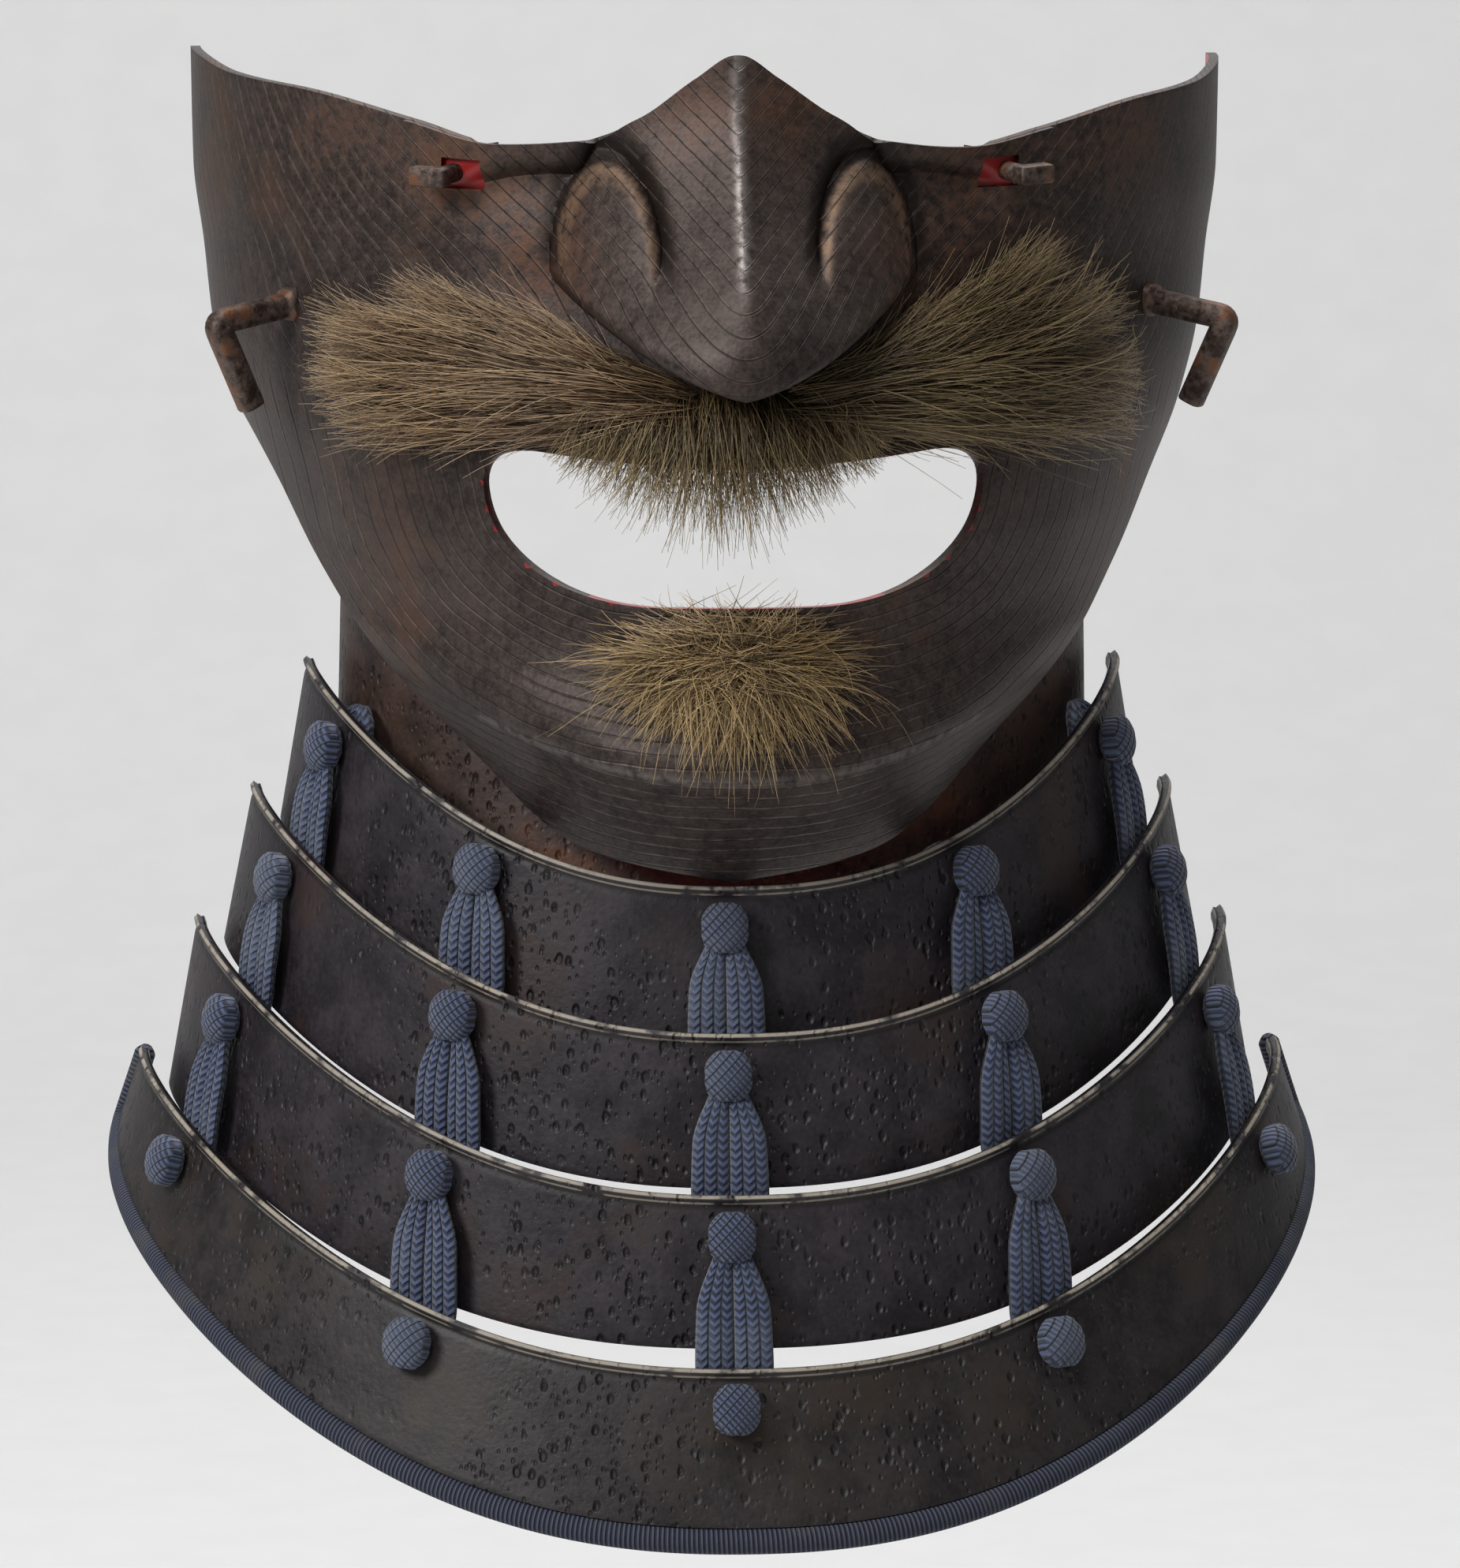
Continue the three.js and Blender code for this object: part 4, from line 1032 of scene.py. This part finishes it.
binding = rolled_form("edge_binding", 18, 1400, binding_ring)
stretch_pattern(binding, 1, float(edge_length[-1]))
edge_silk, shade = new_finish("edge_silk")
turn, run = map_parts(shade)
stitch = run / 0.75 + abs(turn - 0.5) * 0.8
crown = 1 - abs(stitch.maths("FRACT", stitch) - 0.5).fade(0.12, 0.42)
fuzz, dust = shade.noise(1200, 2), shade.noise(70, 4, 0.6)
# painted light and shade: the crowns of the stitches are coloured light and the rest dark
lit_weave = crown.pick((0.010, 0.012, 0.026), (0.070, 0.080, 0.120))
shade.surface(
    Base_Color=(dust.fade(0.5, 0.68) * 0.45).pick(lit_weave, (0.10, 0.095, 0.085)),
    Roughness=0.85,
    Normal=shade.bump(crown * 0.8 + fuzz * 0.3, 0.0006, 0.9),
)
binding.data.materials.append(edge_silk)
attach(binding, "guard")
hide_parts("edge_binding")


# ---------- moustache ----------
# Bear or boar hair, tied in bundles under the nose and combed out over the cheeks. The bundles'
# ends are cut square on the left and stand up in soft curls along their top.

LOCKS = [
    ((-17, 67), (0, 62), (17, 67), (2.6, 2.8, 2.6)),
    ((-8, 67.5), (-27, 75.5), (-48, 84), (2.4, 4, 2)),
    ((-6, 66.5), (-32, 73.5), (-58, 78), (2.6, 4.6, 2.6)),
    ((-6, 66.5), (-34, 69), (-59, 70.5), (2.8, 4.8, 2.6)),
    ((-5, 65), (-30, 63.5), (-56, 64), (2.6, 3.8, 2.2)),
    ((8, 67.5), (27, 74.5), (47, 90), (2.4, 4, 2)),
    ((7, 66.5), (33, 74), (56, 81), (2.6, 4.8, 2.6)),
    ((6, 66.5), (35, 70), (60, 70), (2.8, 5, 2.6)),
    ((5, 65), (30, 63.5), (59, 63), (2.6, 3.8, 2.2)),
    ((0, 65), (-1, 57), (1, 48.5), (2.8, 3.8, 1.2)),
    ((-5, 65), (-8, 59), (-11, 54), (2.6, 3.4, 1.2)),
    ((5, 65), (8, 59), (11, 54), (2.6, 3.4, 1.2)),
]


def face_frames(x, z):
    """Places on the mask's outer face and the ways out of it."""
    point = np.stack([x, face_front(x, z), z], -1)
    slope_x = (face_front(x + 0.3, z) - face_front(x - 0.3, z)) / 0.6
    slope_z = (face_front(x, z + 0.3) - face_front(x, z - 0.3)) / 0.6
    return point, unit(np.stack([slope_x, -np.ones_like(x), slope_z], -1))


def lock_place(lock, t):
    """Where a lock's middle is over the face, the way across it, the way out, and its radius."""
    root, bend, tip, size = lock
    root, bend, tip = (np.array(corner, float) for corner in (root, bend, tip))
    s = np.minimum(t, 1)[:, None]
    flat = (1 - s) ** 2 * root + 2 * s * (1 - s) * bend + s**2 * tip
    run = 2 * (1 - s) * (bend - root) + 2 * s * (tip - bend)
    flat = flat + run * np.maximum(t - 1, 0)[:, None]
    thick = np.interp(t, [0, 0.5, 0.75, 1], [size[0], size[1], mix(size[1], size[2], 0.25), size[2]])
    point, out = face_frames(flat[:, 0], flat[:, 1])
    way = np.stack([run[:, 0], np.zeros(len(run)), run[:, 1]], -1)
    way = unit(way - out * (way * out).sum(-1, keepdims=True))
    across = np.cross(way, out)
    return point + out * (3.05 + thick[:, None]), across, out, thick


def hairs(name, paths, radii):
    """Fine three-sided hairs along many paths at once, as one mesh."""
    count, steps, _ = paths.shape
    run = unit(np.gradient(paths, axis=1))
    side = unit(np.cross(run, (0.3, -1, 0.2)))
    lift = np.cross(side, run)
    turn = np.arange(3) * 2 * math.pi / 3
    ring = side[:, :, None] * np.cos(turn)[:, None] + lift[:, :, None] * np.sin(turn)[:, None]
    rows = paths[:, :, None] + ring * radii[..., None, None]
    first = np.arange(count)[:, None, None] * steps * 3 + np.arange(steps - 1)[:, None] * 3
    here, then = first + np.arange(3), first + (np.arange(3) + 1) % 3
    sides = np.stack([here, here + 3, then + 3, then], -1).reshape(-1, 4)
    start = np.arange(count)[:, None] * steps * 3
    caps = np.concatenate([start + (0, 1, 2), start + (steps - 1) * 3 + (2, 1, 0)])
    mesh = bpy.data.meshes.new(name)
    mesh.from_pydata(rows.reshape(-1, 3) * MM, [], sides.tolist() + caps.tolist())
    mesh.update()
    piece = bpy.data.objects.new(name, mesh)
    bpy.context.scene.collection.objects.link(piece)
    bpy.ops.object.select_all(action="DESELECT")
    piece.select_set(True)
    bpy.context.view_layer.objects.active = piece
    bpy.ops.object.shade_smooth()
    give(piece, "tip", np.broadcast_to(np.linspace(0, 1, steps)[None, :, None], (count, steps, 3)).ravel())
    return piece


def combed(random, locks, share, count, fluff, reach):
    """Paths of hairs that follow locks and stray from them towards their tips."""
    paths, steps = [], 8
    picked = random.choice(len(locks), count, p=np.array(share) / sum(share))
    for number, lock in enumerate(locks):
        n = int((picked == number).sum())
        begin = random.uniform(0, 0.75, n)
        end = np.minimum(begin + random.uniform(*reach, n), random.normal(1.02, 0.04, n))
        t = begin[:, None] + (end - begin)[:, None] * np.linspace(0, 1, steps)
        point, across, out, thick = lock_place(lock, t.ravel())
        shape = (n, steps, 3)
        point, across, out = point.reshape(shape), across.reshape(shape), out.reshape(shape)
        thick = thick.reshape(n, steps, 1)
        angle, far = random.uniform(0, 2 * math.pi, n), np.sqrt(random.uniform(0, 1, n))
        s = np.linspace(0, 1, steps)[None, :, None]
        off = (far * np.cos(angle))[:, None, None], (far * np.sin(angle))[:, None, None]
        drift = random.normal(0, fluff, n)[:, None, None] * s**2
        rise = random.normal(0.2, 0.8, n)[:, None, None] * fluff * 0.5 * s**2
        curl = random.normal(0, 0.5, n)[:, None, None] * np.sin(s * random.uniform(3, 7, n)[:, None, None])
        paths.append(point + across * (off[0] * thick + drift + curl) + out * (off[1] * thick + rise))
    return np.concatenate(paths)


def clear_of_nose(paths):
    x, y, z = np.moveaxis(paths, -1, 0)
    skin = face_front(x, z) - nose_height(x, z) - 1.3
    return paths[((z < nose_foot(x) - 1) | (y < skin)).all(1)]


def hair_finish(name, dark, warm, pale):
    """Coarse hair, darker at its roots, that turns from one colour to another from lock to lock."""
    finish, shade = new_finish(name)
    tip, own = shade.attribute("tip"), shade.attribute("own_tone")
    locks = shade.noise(70, 3)
    body = (own * 0.6 + locks * 0.7 - 0.15).fade(0.2, 0.8).pick(dark, warm)
    tipped = (tip * 0.55 + own * 0.6 - 0.2).fade(0.1, 0.9).pick(body, pale)
    shade.surface(Base_Color=tipped, Roughness=0.42, Specular_IOR_Level=0.6)
    return finish


def lay_hair(name, paths, thick, finish, node):
    size = np.linspace(thick, thick * 0.4, paths.shape[1]) * random.uniform(0.75, 1.25, (len(paths), 1))
    piece = hairs(name, paths, size)
    give(piece, "own_tone", np.repeat(random.uniform(0, 1, len(paths)), paths.shape[1] * 3))
    piece.data.materials.append(finish)
    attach(piece, "guard")
    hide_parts(node)


random = np.random.default_rng(7)
straw = hair_finish("straw_hair", (0.085, 0.045, 0.022), (0.30, 0.175, 0.085), (0.62, 0.45, 0.27))
golden = hair_finish("golden_hair", (0.050, 0.032, 0.014), (0.19, 0.13, 0.055), (0.42, 0.31, 0.16))
left = combed(random, LOCKS[1:5], [1.2, 2, 2.2, 1.2], 3100, 2.6, (0.22, 0.55))
left[..., 0] = np.maximum(left[..., 0], -66.5 + random.normal(0, 1.2, (len(left), 1)))
lay_hair("moustache_left", clear_of_nose(left), 0.09, straw, "moustache")
right = combed(random, LOCKS[5:9], [2, 2.2, 2, 1], 3100, 3.2, (0.22, 0.55))
right[..., 0] = np.minimum(right[..., 0], 65.5 + random.normal(0, 1.2, (len(right), 1)))
lay_hair("moustache_right", clear_of_nose(right), 0.09, golden, "moustache")

count = 2300
root = random.uniform(-1, 1, count)
start_x, start_z = root * 20 - 3, 67 - 1.5 * np.abs(root) + random.normal(0, 1.4, count)
long = (20 - 14 * np.abs(root)) * random.uniform(0.5, 1.08, count)
way = root * 0.75 + random.normal(0, 0.28, count)
s = np.linspace(0, 1, 8)[None, :]
x = start_x[:, None] + (np.sin(way) * long)[:, None] * s + (random.normal(0, 1.1, count))[:, None] * s**2
z = start_z[:, None] - (np.cos(way) * long)[:, None] * s
point, out = face_frames(x, z)
stand = 3.2 + random.uniform(0, 4.2, (count, 1)) + random.uniform(-0.5, 2.5, (count, 1)) * np.sin(np.pi * s)
fall = point + out * stand[..., None]
lay_hair("moustache_middle", clear_of_nose(fall), 0.085, golden, "moustache")


# ---------- chin tuft ----------
# The same hair, knotted through a hole in the chin and fanned out all round.

count = 3600
spread = random.uniform(0, 2 * math.pi, count)
far = np.sqrt(random.uniform(0.08, 1, count)) * random.uniform(0.85, 1.1, count)
root_x, root_z = random.normal(-1.2, 4.2, count), random.normal(28.5, 2.6, count)
across, up = np.cos(spread) * 18.5 * far, np.sin(spread)
tall = up * np.where(up < 0, 13.5, 9.5) * far
s = np.linspace(0, 1, 8)[None, :]
x = root_x[:, None] + across[:, None] * s + random.normal(0, 0.9, (count, 1)) * s**2
z = root_z[:, None] + tall[:, None] * s - 1.6 * s**2
point, out = face_frames(x, z)
stand = 0.9 + random.uniform(0.8, 5.6, (count, 1)) * np.sin(np.pi * np.minimum(s * 0.85 + 0.08, 1)) ** 0.9
paths = point + out * stand[..., None] + random.normal(0, 0.6, (count, 1, 3)) * s[..., None] ** 2
amber = hair_finish("amber_hair", (0.060, 0.034, 0.012), (0.27, 0.165, 0.060), (0.66, 0.47, 0.23))
lay_hair("chin_tuft", paths, 0.085, amber, "chin_tuft")
